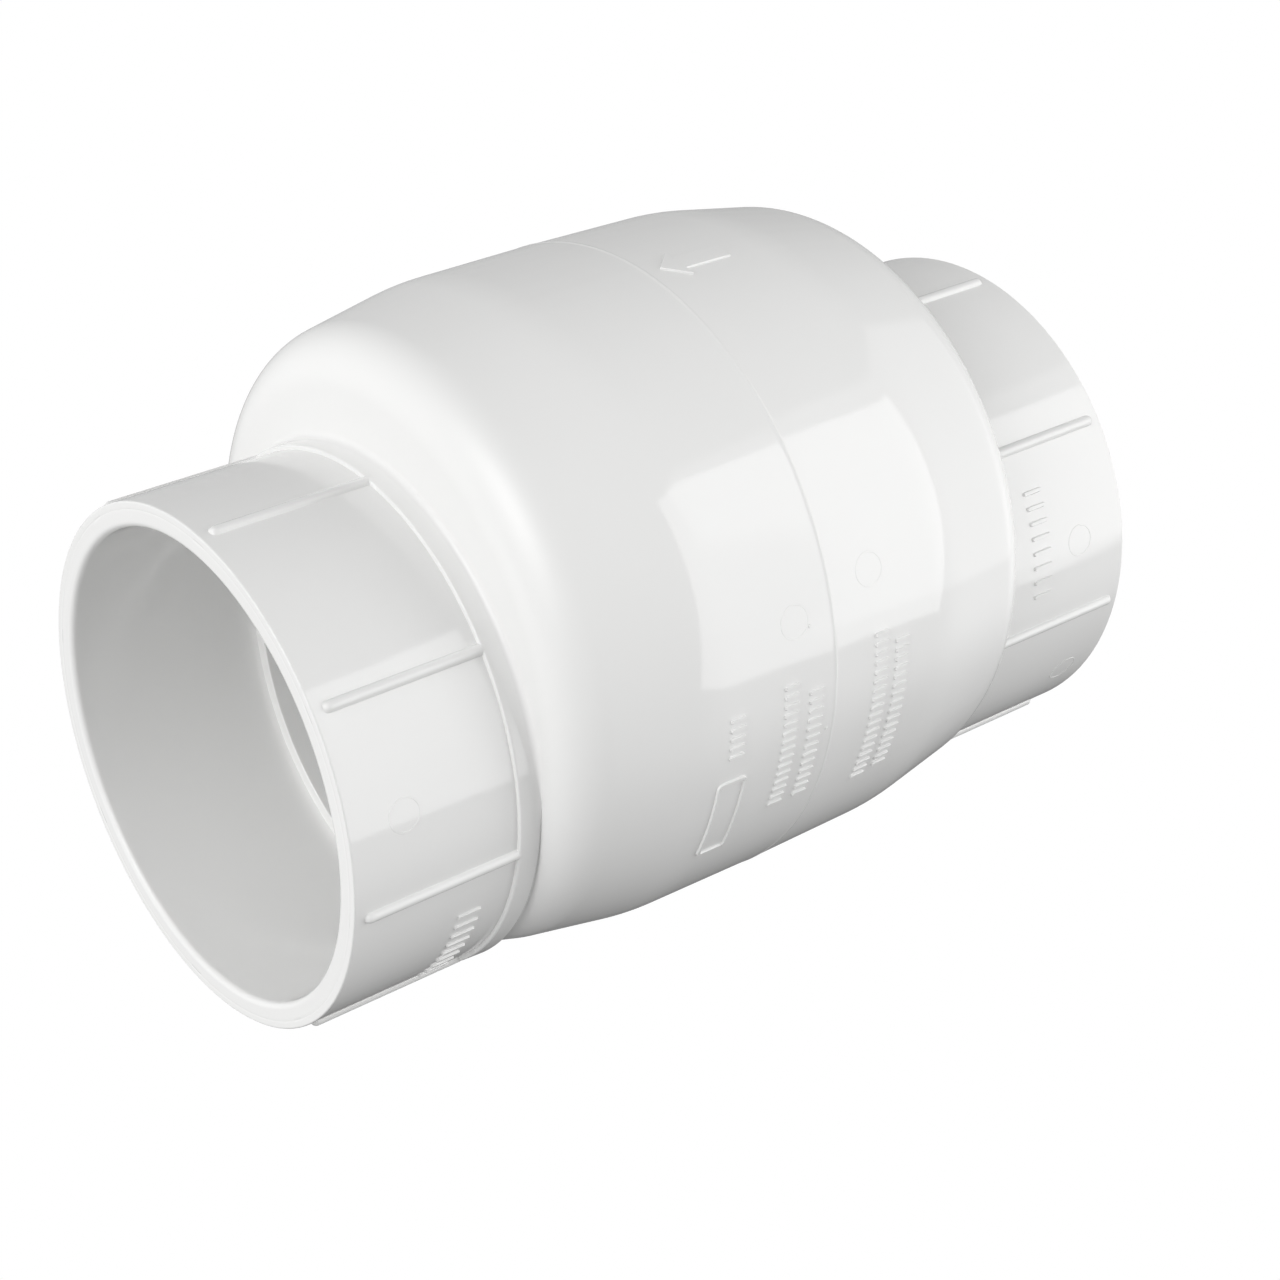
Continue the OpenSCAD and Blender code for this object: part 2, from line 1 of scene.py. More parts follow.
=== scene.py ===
"""Dresses the swing non-return valve: its moulded halves, the seat and flapper inside, and a studio.

Every size is in metres. The frame has its origin on the pipe axis at the inlet pipe stop, X along the flow
and Z up. A distance u runs along the pipe axis from the seam to a mouth, on either half.
"""

import json
import math

import bmesh
import bpy
import numpy as np
from bpy.props import FloatProperty, IntProperty, PointerProperty, StringProperty
from mathutils import Matrix, Vector


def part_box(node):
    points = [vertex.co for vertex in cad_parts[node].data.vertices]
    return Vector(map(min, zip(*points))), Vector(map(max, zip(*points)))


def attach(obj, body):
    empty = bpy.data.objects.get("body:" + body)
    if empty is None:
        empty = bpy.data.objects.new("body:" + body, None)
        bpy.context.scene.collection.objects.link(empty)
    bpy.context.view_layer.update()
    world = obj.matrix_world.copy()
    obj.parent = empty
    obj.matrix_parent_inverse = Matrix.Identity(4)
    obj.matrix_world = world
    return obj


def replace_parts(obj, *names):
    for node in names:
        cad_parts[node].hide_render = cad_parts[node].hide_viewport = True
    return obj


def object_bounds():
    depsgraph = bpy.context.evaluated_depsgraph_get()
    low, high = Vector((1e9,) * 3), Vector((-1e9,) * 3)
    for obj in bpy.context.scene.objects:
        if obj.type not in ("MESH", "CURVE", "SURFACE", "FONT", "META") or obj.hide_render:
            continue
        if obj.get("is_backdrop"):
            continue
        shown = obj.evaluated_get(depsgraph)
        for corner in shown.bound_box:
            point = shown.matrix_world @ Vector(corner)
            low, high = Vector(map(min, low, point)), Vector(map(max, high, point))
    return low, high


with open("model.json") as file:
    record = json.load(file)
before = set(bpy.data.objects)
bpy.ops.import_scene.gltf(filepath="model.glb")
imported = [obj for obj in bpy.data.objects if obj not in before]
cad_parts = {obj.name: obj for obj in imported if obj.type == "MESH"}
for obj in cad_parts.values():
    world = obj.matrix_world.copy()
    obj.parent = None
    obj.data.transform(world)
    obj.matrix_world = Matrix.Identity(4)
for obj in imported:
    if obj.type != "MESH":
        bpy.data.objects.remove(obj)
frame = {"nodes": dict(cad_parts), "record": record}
CAD_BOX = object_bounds()

bl_info = {
    "name": "Swing Non-Return Valve",
    "version": (1, 0, 0),
    "blender": (4, 5, 0),
    "location": "View3D > Sidebar > Valve",
    "description": "Builds a swing non-return valve's shells, seat and flapper, and a studio",
    "category": "Object",
}

FIXED_BODY = "valve_body"
FLAPPER_BODY = "flapper"
WELD_DISTANCE = 1e-6
MOUNTS = {m["name"]: m for m in frame["record"]["mounts"]}
OUTLET_LOW, OUTLET_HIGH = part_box("outlet_body")
SEAM_X = OUTLET_LOW[0]
BARREL_RADIUS = OUTLET_HIGH[1]
BARREL_RISE = OUTLET_HIGH[2] - OUTLET_HIGH[1]
SOCKET_BORE = MOUNTS["outlet_socket"]["dims"]["r_mm"] / 1000
STOP_U = MOUNTS["outlet_socket"]["pos_m"][0] - SEAM_X
MOUTH_U = OUTLET_HIGH[0] - SEAM_X

# Widths over which two surfaces that cross are rounded into each other
BARREL_BLEND = 0.0012
CAVITY_BLEND = 0.001
RIB_BLEND = 0.0001

# Small roundings: the collar's corner and its foot, the pipe stop's corner, the edges of the port
COLLAR_CORNER = 0.00045
COLLAR_FOOT = 0.00006
STOP_CORNER = 0.0002
PORT_EDGE = 0.0003

# The cove takes this share of the shoulder's height, down to a bulge this deep where the shoulder is lowest
COVE_SHARE = 0.7
COVE_BULGE = 0.0011

# Distances from the seam at which rows lie, close together over the seam's rounding and its bead
SEAM_ROWS = (0, 0.00002, 0.00005, 0.0001, 0.00018, 0.00028, 0.0004, 0.00054, 0.0007, 0.001, 0.0018, 0.0027)

# Past every wall of the valve: the boss radius of a half that has no boss
NO_BOSS = 1.0

# Roundings of a flapper stop at its corners, its front and its root, and how far its root goes into the roof
STOP_ROUNDINGS = (0.0007, 0.0005, 0.0009)
STOP_ROOT = 0.0025
STOP_REACH = 0.06
HALVINGS = 30

# A raised mark's bevel, which is at most a share of its height, and how far its root goes into the wall
MARK_BEVEL = 0.00022
BEVEL_SHARE = 0.6
MARK_ROOT = 0.0006
FRAME_CORNER = 0.001
ARROW_TIP_HALF = 0.0001


def size(name, description, default):
    """A length property in metres."""
    return FloatProperty(name=name, description=description, default=default, unit="LENGTH", precision=5)


def number(name, description, default):
    """A property without a unit."""
    return FloatProperty(name=name, description=description, default=default)


def turn(name, description, degrees):
    """An angle property, its default given in degrees."""
    default = math.radians(degrees)
    return FloatProperty(name=name, description=description, default=default, subtype="ANGLE")


def colour(name, description, default):
    """A colour property held as an sRGB hex value."""
    return StringProperty(name=name, description=description, default=default)


class ValveShellSizes(bpy.types.PropertyGroup):
    """Sizes of the two moulded halves that the eye can follow."""

    wall: size("Wall", "Wall of the barrel", 0.006)
    draft: turn("Draft", "Slope of the barrel's straight middle away from the seam", 0.6)
    flat_half: size("Straight half", "Length of that middle on each side of the seam", 0.0315)
    crown_radius: size("Crown radius", "Radius of the bend from the middle into the cone", 0.06)
    cone_angle: turn("Cone angle", "Angle at which the barrel draws in", 10)
    edge_radius: size("Shoulder edge", "Radius of the rounded shoulder edge", 0.013)
    shoulder: size("Shoulder", "Distance by which a shoulder stands out past the pipe stop", 0.00215)
    collar_length: size("Collar length", "From the edge of the collar to the shoulder", 0.00575)
    collar_step: size("Collar step", "Step from the socket up to the collar", 0.0011)
    collar_rise: size("Collar rise", "Taper of the collar over its length", 0.0002)
    cove: size("Cove", "Radius between the collar and the shoulder", 0.0015)
    keel_wall: size("Keel wall", "Wall under the barrel, where the socket's round carries on", 0.0049)
    socket_wall: size("Socket wall", "Wall of a socket", 0.00625)
    rim_radius: size("Rim radius", "Rounding round the outside of the mouth", 0.0004)
    mouth_radius: size("Mouth radius", "Rounding inside the mouth", 0.0014)
    rim_line: size("Rim line", "Width of the fine line that the mould leaves on the rim's face", 0.0003)
    rib_width: size("Rib width", "Width of a rib at its foot", 0.0028)
    rib_height: size("Rib height", "Height of a rib above the socket", 0.0012)
    rib_setback: size("Rib setback", "From the mouth to the end of a rib", 0.0028)
    outlet_port: size("Outlet port", "Radius of the bore past the outlet pipe stop", 0.054)
    inlet_port: size("Inlet port", "Radius of the bore past the inlet pipe stop", 0.05)
    stop_web: size("Pipe stop web", "Thickness of the web that carries a pipe stop", 0.006)
    boss_length: size("Seat boss", "Length of the boss that holds the seat ring, from the pipe stop", 0.01)
    boss_radius: size("Boss radius", "Radius of that boss", 0.06)
    tongue: size("Tongue", "Length of the tongue at the seam", 0.006)
    tongue_wall: size("Tongue wall", "Thickness of the tongue", 0.0029)
    cement_gap: size("Cement gap", "Gap round the tongue", 0.0001)
    seam_round: size("Seam rounding", "Rounding of the edges that meet at the seam", 0.00005)
    seam_bead: size("Seam bead", "Height of the low bead of cement along the seam", 0.00011)
    seam_bead_half: size("Seam bead half", "Distance over which that bead fades", 0.00042)
    ribs: IntProperty(name="Ribs", description="Number of ribs on each socket", default=8)
    seat_angle: turn("Seat angle", "Lean of the seat away from upright", 25)
    stop_face: size("Stop face", "From the hinge axis out to the stops, square to the open flapper", 0.007)
    stop_from: size("Stop start", "From the hinge axis to the near end of a stop", 0.07924)
    stop_to: size("Stop end", "From the hinge axis to the far end of a stop", 0.09524)
    stop_thickness: size("Stop thickness", "Thickness of a stop", 0.004)
    stop_spread: size("Stop spread", "Distance of a stop from the middle", 0.024)


class ValveMarkSizes(bpy.types.PropertyGroup):
    """Sizes of the raised flow arrow and of the plain raised marks."""

    relief: size("Relief", "Height of the plain marks above the surface", 0.0005)
    arrow_relief: size("Arrow relief", "Height of the flow arrow", 0.00045)
    arrow_tip: size("Arrow tip", "From the seam back to the tip of the arrow", 0.0045)
    arrow_length: size("Arrow length", "Length of the arrow", 0.0192)
    arrow_head: size("Arrow head", "Length of the head of the arrow", 0.0055)
    arrow_span: size("Arrow span", "Width of the head of the arrow", 0.0106)
    arrow_shaft: size("Arrow shaft", "Width of the shaft of the arrow", 0.005)
    tick_height: size("Tick height", "Length of a tick in a row of marks", 0.004)
    tick_width: size("Tick width", "Width of a tick", 0.0008)
    tick_pitch: size("Tick pitch", "Distance between ticks", 0.0024)
    frame_length: size("Frame length", "Length of the empty frame along the valve", 0.0077)
    frame_span: size("Frame span", "Width of the empty frame round the barrel", 0.0232)
    ring_radius: size("Pin mark", "Radius of a faint ejector pin mark", 0.004)
    ring_width: size("Pin mark width", "Width of that mark's edge", 0.00035)
    ring_relief: size("Pin mark relief", "Height of that edge", 0.00007)


class ValveFinish(bpy.types.PropertyGroup):
    """Colours of the finishes, as sRGB hex values."""

    pvc: colour("PVC", "White pressure-pipe PVC", "F8F8F7")
    epdm: colour("EPDM", "Black rubber", "1B1B1C")
    stainless: colour("Stainless", "Bright stainless steel", "C9CACC")
    acetal: colour("Acetal", "Natural acetal", "E6E1D3")
    floor: colour("Floor", "White studio floor", "FFFFFF")


class ValveStudio(bpy.types.PropertyGroup):
    """Where the camera stands and how the studio is lit."""

    lens: number("Lens", "Focal length in millimetres, on a 36 mm sensor", 77.857)
    roll: turn("Roll", "Lean of the camera to its left", 6.668)
    floor_drop: size("Floor", "Depth of the floor below the origin", 1.0)
    floor_size: size("Floor size", "Side of the square floor", 40)
    side_glow: number("Side box", "Radiance of the tall soft box at the side", 1.74)
    wide_glow: number("Wide box", "Radiance of the faint box beside it", 0.64)
    light_above: number("Light above", "Sine of the elevation from which the sky is at its full", -0.36)
    dark_below: number("Dark below", "Sine of the elevation where its light ends", -0.68)


CAMERA_PLACE = Vector((0.45361, 0.42813, 0.39617))
CAMERA_AIM = Vector((0.05742, 0.0, -0.01288))
SENSOR_WIDTH = 36.0

# Soft boxes face the valve's middle from this distance: name, direction, what the height leans towards, and
# width and height as shares of the distance
VALVE_MIDDLE = Vector((0.069, 0.0, 0.01))
BOX_DISTANCE = 3.0
SOFT_BOXES = (
    ("side_box", (-0.614, 0.724, 0.315), (-0.033, -0.422, 0.906), (0.529, 1.123)),
    ("wide_box", (-0.86, 0.42, 0.293), (0, -0.3, 0.95), (0.9, 1.123)),
)

# Patches of sky light: direction, power of the cosine that narrows it, radiance
PATCHES_ABOVE = (
    ((0, 0, 1), 1, 0.24),
    ((-1, 0, 0), 6, 0.4),
    ((-1, 0.5, -0.25), 4, 1.16),
    ((0, -1, -0.1), 4, 0.4),
    ((0.8, 0.1, 0.6), 12, 2.7),
)
PATCHES_ALL_ROUND = (
    ((1, 0, 0), 1, 0.82),
    ((0.2, -1, -0.4), 4, 0.36),
    ((-0.62, -0.66, -0.3), 8, 0.25),
    ((-0.95, 0.1, -0.45), 12, 0.4),
)


def linear(hex_code, share=1.0):
    """sRGB hex to a linear colour, each part times a share."""
    parts = [int(hex_code[i : i + 2], 16) / 255 for i in (0, 2, 4)]
    parts = [c / 12.92 if c <= 0.04045 else ((c + 0.055) / 1.055) ** 2.4 for c in parts]
    return (*[c * share for c in parts], 1.0)


def add_node(tree, kind, links=(), values=None, **settings):
    """Adds a node with its settings, its sockets' values, and links as (input, from node, output)."""
    node = tree.nodes.new(kind)
    for name, setting in settings.items():
        setattr(node, name, setting)
    for socket, value in (values or {}).items():
        node.inputs[socket].default_value = value
    for socket, source, output in links:
        tree.links.new(source.outputs[output], node.inputs[socket])
    return node


def material_of(name, add_surface):
    """The material of a name, made on first use: add_surface adds its nodes and returns the last of them."""
    material = bpy.data.materials.get(name)
    if material is None:
        material = bpy.data.materials.new(name)
        material.use_nodes = True
        tree = material.node_tree
        tree.nodes.clear()
        surface = add_surface(tree, bpy.context.scene.valve_finish)
        add_node(tree, "ShaderNodeOutputMaterial", [("Surface", surface, 0)])
    return material


def white_pvc(tree, finish):
    """White rigid PVC, injection-moulded in a polished mould.

    To the eye it is a near-white body with a hard, clear gloss, a shade darker here and there in clouds of
    about 36 mm. The melt leaves the face very slightly wavy over about 31 mm, which bends the edges of
    reflections, and a fine grain of 0.4 mm takes their mirror edge off.
    """
    place = add_node(tree, "ShaderNodeTexCoord")
    vector = [("Vector", place, "Object")]
    cloud = add_node(tree, "ShaderNodeTexNoise", vector, {"Scale": 1000 / 35.7, "Detail": 2})
    wave = add_node(tree, "ShaderNodeTexNoise", vector, {"Scale": 1000 / 31.25, "Detail": 1})
    grain = add_node(tree, "ShaderNodeTexNoise", vector, {"Scale": 1000 / 0.4, "Detail": 2})
    tones = {"A": linear(finish.pvc), "B": linear(finish.pvc, 0.975)}
    shade = add_node(tree, "ShaderNodeMix", [("Factor", cloud, "Fac")], tones, data_type="RGBA")
    soft, fine = {"Strength": 0.12, "Distance": 0.0012}, {"Strength": 0.06, "Distance": 0.0001}
    swell = add_node(tree, "ShaderNodeBump", [("Height", wave, "Fac")], soft)
    skin = add_node(tree, "ShaderNodeBump", [("Height", grain, "Fac"), ("Normal", swell, "Normal")], fine)
    gloss = add_node(tree, "ShaderNodeMapRange", [("Value", cloud, "Fac")], {"To Min": 0.05, "To Max": 0.08})
    return add_node(
        tree,
        "ShaderNodeBsdfPrincipled",
        [("Base Color", shade, "Result"), ("Roughness", gloss, "Result"), ("Normal", skin, "Normal")],
        {"IOR": 1.54},
    )


def black_epdm(tree, finish):
    """Black EPDM rubber, compression-moulded.

    To the eye it is a deep grey-black with a soft sheen, a little bloom in patches of 11 mm, and a fine matt
    grain of just under half a millimetre.
    """
    place = add_node(tree, "ShaderNodeTexCoord")
    vector = [("Vector", place, "Object")]
    bloom = add_node(tree, "ShaderNodeTexNoise", vector, {"Scale": 1000 / 11.1, "Detail": 4})
    grain = add_node(tree, "ShaderNodeTexNoise", vector, {"Scale": 1000 / 0.455, "Detail": 3})
    tones = {"A": linear(finish.epdm), "B": linear(finish.epdm, 1.8)}
    shade = add_node(tree, "ShaderNodeMix", [("Factor", bloom, "Fac")], tones, data_type="RGBA")
    matt = {"Strength": 0.25, "Distance": 0.0002}
    skin = add_node(tree, "ShaderNodeBump", [("Height", grain, "Fac")], matt)
    return add_node(
        tree,
        "ShaderNodeBsdfPrincipled",
        [("Base Color", shade, "Result"), ("Normal", skin, "Normal")],
        {"Roughness": 0.48, "IOR": 1.52},
    )


def stainless_steel(tree, finish):
    """Austenitic stainless steel, turned and pressed.

    To the eye it is bright metal, duller in patches of 7 mm, with a fine uneven polish of about 0.3 mm.
    """
    place = add_node(tree, "ShaderNodeTexCoord")
    vector = [("Vector", place, "Object")]
    polish = add_node(tree, "ShaderNodeTexNoise", vector, {"Scale": 1000 / 0.333, "Detail": 3})
    patch = add_node(tree, "ShaderNodeTexNoise", vector, {"Scale": 1000 / 7.14, "Detail": 3})
    gloss = add_node(tree, "ShaderNodeMapRange", [("Value", patch, "Fac")], {"To Min": 0.2, "To Max": 0.34})
    uneven = {"Strength": 0.12, "Distance": 0.0001}
    skin = add_node(tree, "ShaderNodeBump", [("Height", polish, "Fac")], uneven)
    return add_node(
        tree,
        "ShaderNodeBsdfPrincipled",
        [("Roughness", gloss, "Result"), ("Normal", skin, "Normal")],
        {"Base Color": linear(finish.stainless), "Metallic": 1.0},
    )


def natural_acetal(tree, finish):
    """Natural acetal, turned from rod.

    To the eye it is a slightly yellow white, waxy, with a satin turned face of half-millimetre marks.
    """
    place = add_node(tree, "ShaderNodeTexCoord")
    vector = [("Vector", place, "Object")]
    grain = add_node(tree, "ShaderNodeTexNoise", vector, {"Scale": 1000 / 0.556, "Detail": 2})
    skin = add_node(tree, "ShaderNodeBump", [("Height", grain, "Fac")], {"Strength": 0.1, "Distance": 0.0001})
    gloss = add_node(tree, "ShaderNodeMapRange", [("Value", grain, "Fac")], {"To Min": 0.34, "To Max": 0.42})
    return add_node(
        tree,
        "ShaderNodeBsdfPrincipled",
        [("Roughness", gloss, "Result"), ("Normal", skin, "Normal")],
        {"Base Color": linear(finish.acetal), "IOR": 1.48},
    )


def white_floor(tree, finish):
    """Evenly lit white floor, as under a product cut out on white: the camera sees plain white, no shadow."""
    return add_node(tree, "ShaderNodeEmission", values={"Color": linear(finish.floor), "Strength": 1.0})


FINISHES = {
    "white_pvc": ("white_pvc_moulded", white_pvc),
    "black_epdm": ("black_epdm_rubber", black_epdm),
    "stainless_steel": ("stainless_steel_turned", stainless_steel),
    "natural_acetal": ("natural_acetal_turned", natural_acetal),
}


def grid_faces(rows, columns, close_rows=False, close_columns=False):
    """Quads between neighbouring rows and columns of a grid of points, numbered row by row."""
    i = np.arange(rows if close_rows else rows - 1)[:, None]
    j = np.arange(columns if close_columns else columns - 1)[None, :]
    below = (i + 1) % rows
    beside = (j + 1) % columns
    corners = (i * columns + j, i * columns + beside, below * columns + beside, below * columns + j)
    return np.stack([np.broadcast_to(c, (i.shape[0], j.shape[1])) for c in corners], -1).reshape(-1, 4)


def welded(points, faces):
    """Joins the points that lie together, and drops the corners and faces that this leaves with no width."""
    keys = np.round(points / WELD_DISTANCE).astype(np.int64)
    first, back = np.unique(keys, axis=0, return_index=True, return_inverse=True)[1:]
    faces = back.reshape(-1)[faces]
    kept = faces != np.roll(faces, 1, axis=1)
    sides = kept.sum(axis=1)
    quads = faces[sides == 4]
    triangles = faces[sides == 3][kept[sides == 3]].reshape(-1, 3)
    return points[first], [*quads.tolist(), *triangles.tolist()]


def level(values):
    """Values as rows, one row for each value unless they are rows already."""
    values = np.asarray(values, float)
    return values[:, None] if values.ndim == 1 else values


def quarter(steps):
    """Angles of a quarter turn."""
    return np.radians(np.linspace(0, 90, steps))


def signed_volume(points, faces):
    """Volume that the faces enclose, negative where they point inwards."""
    corners = [np.array([f[0], f[k], f[k + 1]]) for f in faces for k in range(1, len(f) - 1)]
    a, b, c = (points[np.array(corners)[:, k]] for k in range(3))
    return float(np.einsum("ij,ij->i", a, np.cross(b, c)).sum()) / 6


def new_piece(name, mesh, slot, body, sharp):
    """An object of a mesh, smooth up to a sharp angle in degrees, in its slot's finish and on its body."""
    mesh.polygons.foreach_set("use_smooth", np.ones(len(mesh.polygons), dtype=bool))
    mesh.set_sharp_from_angle(angle=math.radians(sharp))
    mesh.materials.clear()
    mesh.materials.append(material_of(*FINISHES[slot]))
    piece = bpy.data.objects.new(name, mesh)
    bpy.context.scene.collection.objects.link(piece)
    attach(piece, body)
    return piece


def moulded_piece(name, parts):
    """One object of closed surfaces, each a pair of points and faces, with its faces turned outwards."""
    points, faces, base = [], [], 0
    for part_points, part_faces in parts:
        if signed_volume(part_points, part_faces) < 0:
            part_faces = [f[::-1] for f in part_faces]
        points.append(part_points)
        faces += [[corner + base for corner in f] for f in part_faces]
        base += len(part_points)
    mesh = bpy.data.meshes.new(name)
    mesh.from_pydata(np.concatenate(points).tolist(), [], faces)
    piece = new_piece(name, mesh, "white_pvc", FIXED_BODY, sharp=40)
    piece.modifiers.new("face_weight", "WEIGHTED_NORMAL").keep_sharp = True
    return piece


def smooth_max(a, b, width):
    """The larger of two values, with the step from one to the other rounded over a width."""
    return 0.5 * (a + b + np.sqrt((a - b) ** 2 + width * width))


def arc(centre_u, centre_r, radius, start, end, steps):
    """Points of an arc in the plane of distance and radius: the angle runs from radius towards distance."""
    angles = np.radians(np.linspace(start, end, steps))
    return centre_u + radius * np.sin(angles), centre_r + radius * np.cos(angles)


def socket_radius(sizes):
    """Outside radius of a socket."""
    return SOCKET_BORE + sizes.socket_wall


def barrel_outline(sizes, inset):
    """Distance from the seam and radius about the barrel's own axis, as far as the flat of the shoulder.

    It is a straight draft line, an arc, a cone and a rounded edge that meet without a corner, all moved in by
    an even wall.
    """
    draft, cone = sizes.draft, sizes.cone_angle
    blend_u = sizes.flat_half - sizes.crown_radius * math.sin(draft)
    blend_r = BARREL_RADIUS - sizes.flat_half * math.tan(draft) - sizes.crown_radius * math.cos(draft)
    cone_u = blend_u + sizes.crown_radius * math.sin(cone)
    cone_r = blend_r + sizes.crown_radius * math.cos(cone)
    edge_u = STOP_U + sizes.shoulder - sizes.edge_radius
    edge_r = cone_r - (sizes.edge_radius + (edge_u - cone_u) * math.sin(cone)) / math.cos(cone)
    bend = arc(blend_u, blend_r, sizes.crown_radius - inset, math.degrees(draft), math.degrees(cone), 9)
    edge = arc(edge_u, edge_r, sizes.edge_radius - inset, math.degrees(cone), 90, 21)
    line_u = np.concatenate([SEAM_ROWS, np.linspace(0.0045, bend[0][0], 11)])
    line_r = bend[1][0] + (bend[0][0] - line_u) * math.tan(draft)
    side_u = np.linspace(bend[0][-1], edge[0][0], 9)[1:-1]
    side_r = bend[1][-1] - (side_u - bend[0][-1]) * math.tan(cone)
    u = np.concatenate([line_u[:-1], bend[0], side_u, edge[0]])
    r = np.concatenate([line_r[:-1], bend[1], side_r, edge[1]])
    return u, r


def column_angles(sizes):
    """Angles round the pipe axis: close together over each rib, and even between the ribs."""
    half = 0.5 * sizes.rib_width / socket_radius(sizes)
    pitch = 2 * math.pi / sizes.ribs
    near = half * np.array([0, 0.22, 0.44, 0.64, 0.8, 0.9, 0.97, 1.03, 1.15, 1.35, 1.7])
    plain = np.linspace(near[-1], pitch - near[-1], 27)[1:-1]
    one = np.concatenate([near, plain, pitch - near[:0:-1]])
    return (np.arange(sizes.ribs)[:, None] * pitch + one[None, :]).ravel()


def bead_radius(sizes):
    """Radius of a rib's round, from its height over its width as a chord."""
    return (sizes.rib_width**2 / 4 + sizes.rib_height**2) / (2 * sizes.rib_height)


def rib_relief(sizes, angles, u):
    """Height of the ribs above the socket at each distance and angle.

    A rib is a half-sunk round bead: the height of a circle over its chord, carried along the socket and round
    its free end as a ball, with a softened foot.
    """
    pitch = 2 * math.pi / sizes.ribs
    away = np.abs((angles + pitch / 2) % pitch - pitch / 2) * socket_radius(sizes)
    bead_r = bead_radius(sizes)
    past_end = np.maximum(0, u - (MOUTH_U - sizes.rib_setback - bead_r))
    room = bead_r**2 - away[None, :] ** 2 - past_end[:, None] ** 2
    bead = np.sqrt(np.maximum(0, room)) - (bead_r - sizes.rib_height)
    return smooth_max(bead, 0, RIB_BLEND) - 0.1 * RIB_BLEND


def about_pipe(radii, angles):
    """Radius about the pipe axis, at each angle, of circles about the barrel's axis.

    It is rise sin a + sqrt(R^2 - rise^2 cos^2 a) for the radius R at the angle a.
    """
    return BARREL_RISE * np.sin(angles) + np.sqrt(level(radii) ** 2 - (BARREL_RISE * np.cos(angles)) ** 2)


def outer_rows(sizes, angles):
    """Rows from the seam over the barrel, the shoulder, the cove, the collar and the ribs to the mouth.

    The outside is the larger of the barrel's radius about the pipe axis and the socket's own radius, which
    carries on under the barrel. The cove is a quarter circle whose radius follows the shoulder's height.
    """
    shoulder_u = STOP_U + sizes.shoulder
    socket_r = socket_radius(sizes)
    collar_r = socket_r + sizes.collar_step
    root_r = collar_r + sizes.collar_rise
    edge_u = shoulder_u + sizes.collar_length

    u, r = barrel_outline(sizes, 0)
    outside = smooth_max(about_pipe(r, angles), socket_r, BARREL_BLEND)
    into_edge = np.maximum(0, sizes.seam_round - u) / sizes.seam_round
    dip = sizes.seam_round * (1 - np.sqrt(np.maximum(0, 1 - into_edge**2)))
    dip = dip - sizes.seam_bead * np.exp(-((u / sizes.seam_bead_half) ** 2))
    outside = outside - dip[:, None]
    rows = [(u, outside)]

    top = outside[-1]
    cove = -smooth_max(-COVE_SHARE * (top - root_r), -sizes.cove, 0.0002)
    cove = smooth_max(cove, -COVE_BULGE, 0.0001)
    share = level([0.04, 0.12, 0.3, 0.5, 0.7, 0.88, 0.97, 1.0])
    rows.append((np.full(len(share), shoulder_u), top + (root_r + cove - top) * share))
    swing = level(quarter(8)[1:])
    start = shoulder_u + np.abs(cove)
    rows.append((shoulder_u + np.abs(cove) * (1 - np.cos(swing)), root_r + cove * (1 - np.sin(swing))))

    corner_u = edge_u - COLLAR_CORNER
    share = level([0.1, 0.3, 0.55, 0.8, 0.95])
    rows.append((start + (corner_u - start) * share, root_r + (collar_r - root_r) * share))
    ribs_there = socket_r + rib_relief(sizes, angles, np.array([edge_u]))
    crest_u, crest_r = arc(corner_u, collar_r - COLLAR_CORNER, COLLAR_CORNER, 0, 90, 6)
    rows.append((crest_u, np.maximum(level(crest_r), ribs_there)))
    foot_r = socket_r + COLLAR_FOOT
    rows.append(([edge_u, edge_u], np.maximum(level([foot_r + 5 * COLLAR_FOOT, foot_r]), ribs_there)))
    swing = quarter(4)[1:]
    foot_u = edge_u + COLLAR_FOOT * (1 - np.cos(swing))
    foot_r = socket_r + COLLAR_FOOT * (1 - np.sin(swing))
    rows.append((foot_u, np.maximum(level(foot_r), socket_r + rib_relief(sizes, angles, foot_u))))

    end = MOUTH_U - sizes.rib_setback
    bead_shares = np.array([-1.5, -1, -0.75, -0.5, -0.32, -0.18, -0.08, -0.02, 0.05, 0.2])
    along = np.linspace(edge_u + 0.0012, end - sizes.rib_width, 14)
    round_end = end + bead_radius(sizes) * bead_shares
    along = np.concatenate([along, round_end, [MOUTH_U - sizes.rim_radius - 0.0002]])
    return [*rows, (along, socket_r + rib_relief(sizes, angles, along))]


def port_sizes(sizes, inlet):
    """A half's port radius, where its boss ends and the boss's radius; a half without one ends at its web."""
    if inlet:
        return sizes.inlet_port, STOP_U - sizes.boss_length, sizes.boss_radius
    return sizes.outlet_port, STOP_U - sizes.stop_web, NO_BOSS


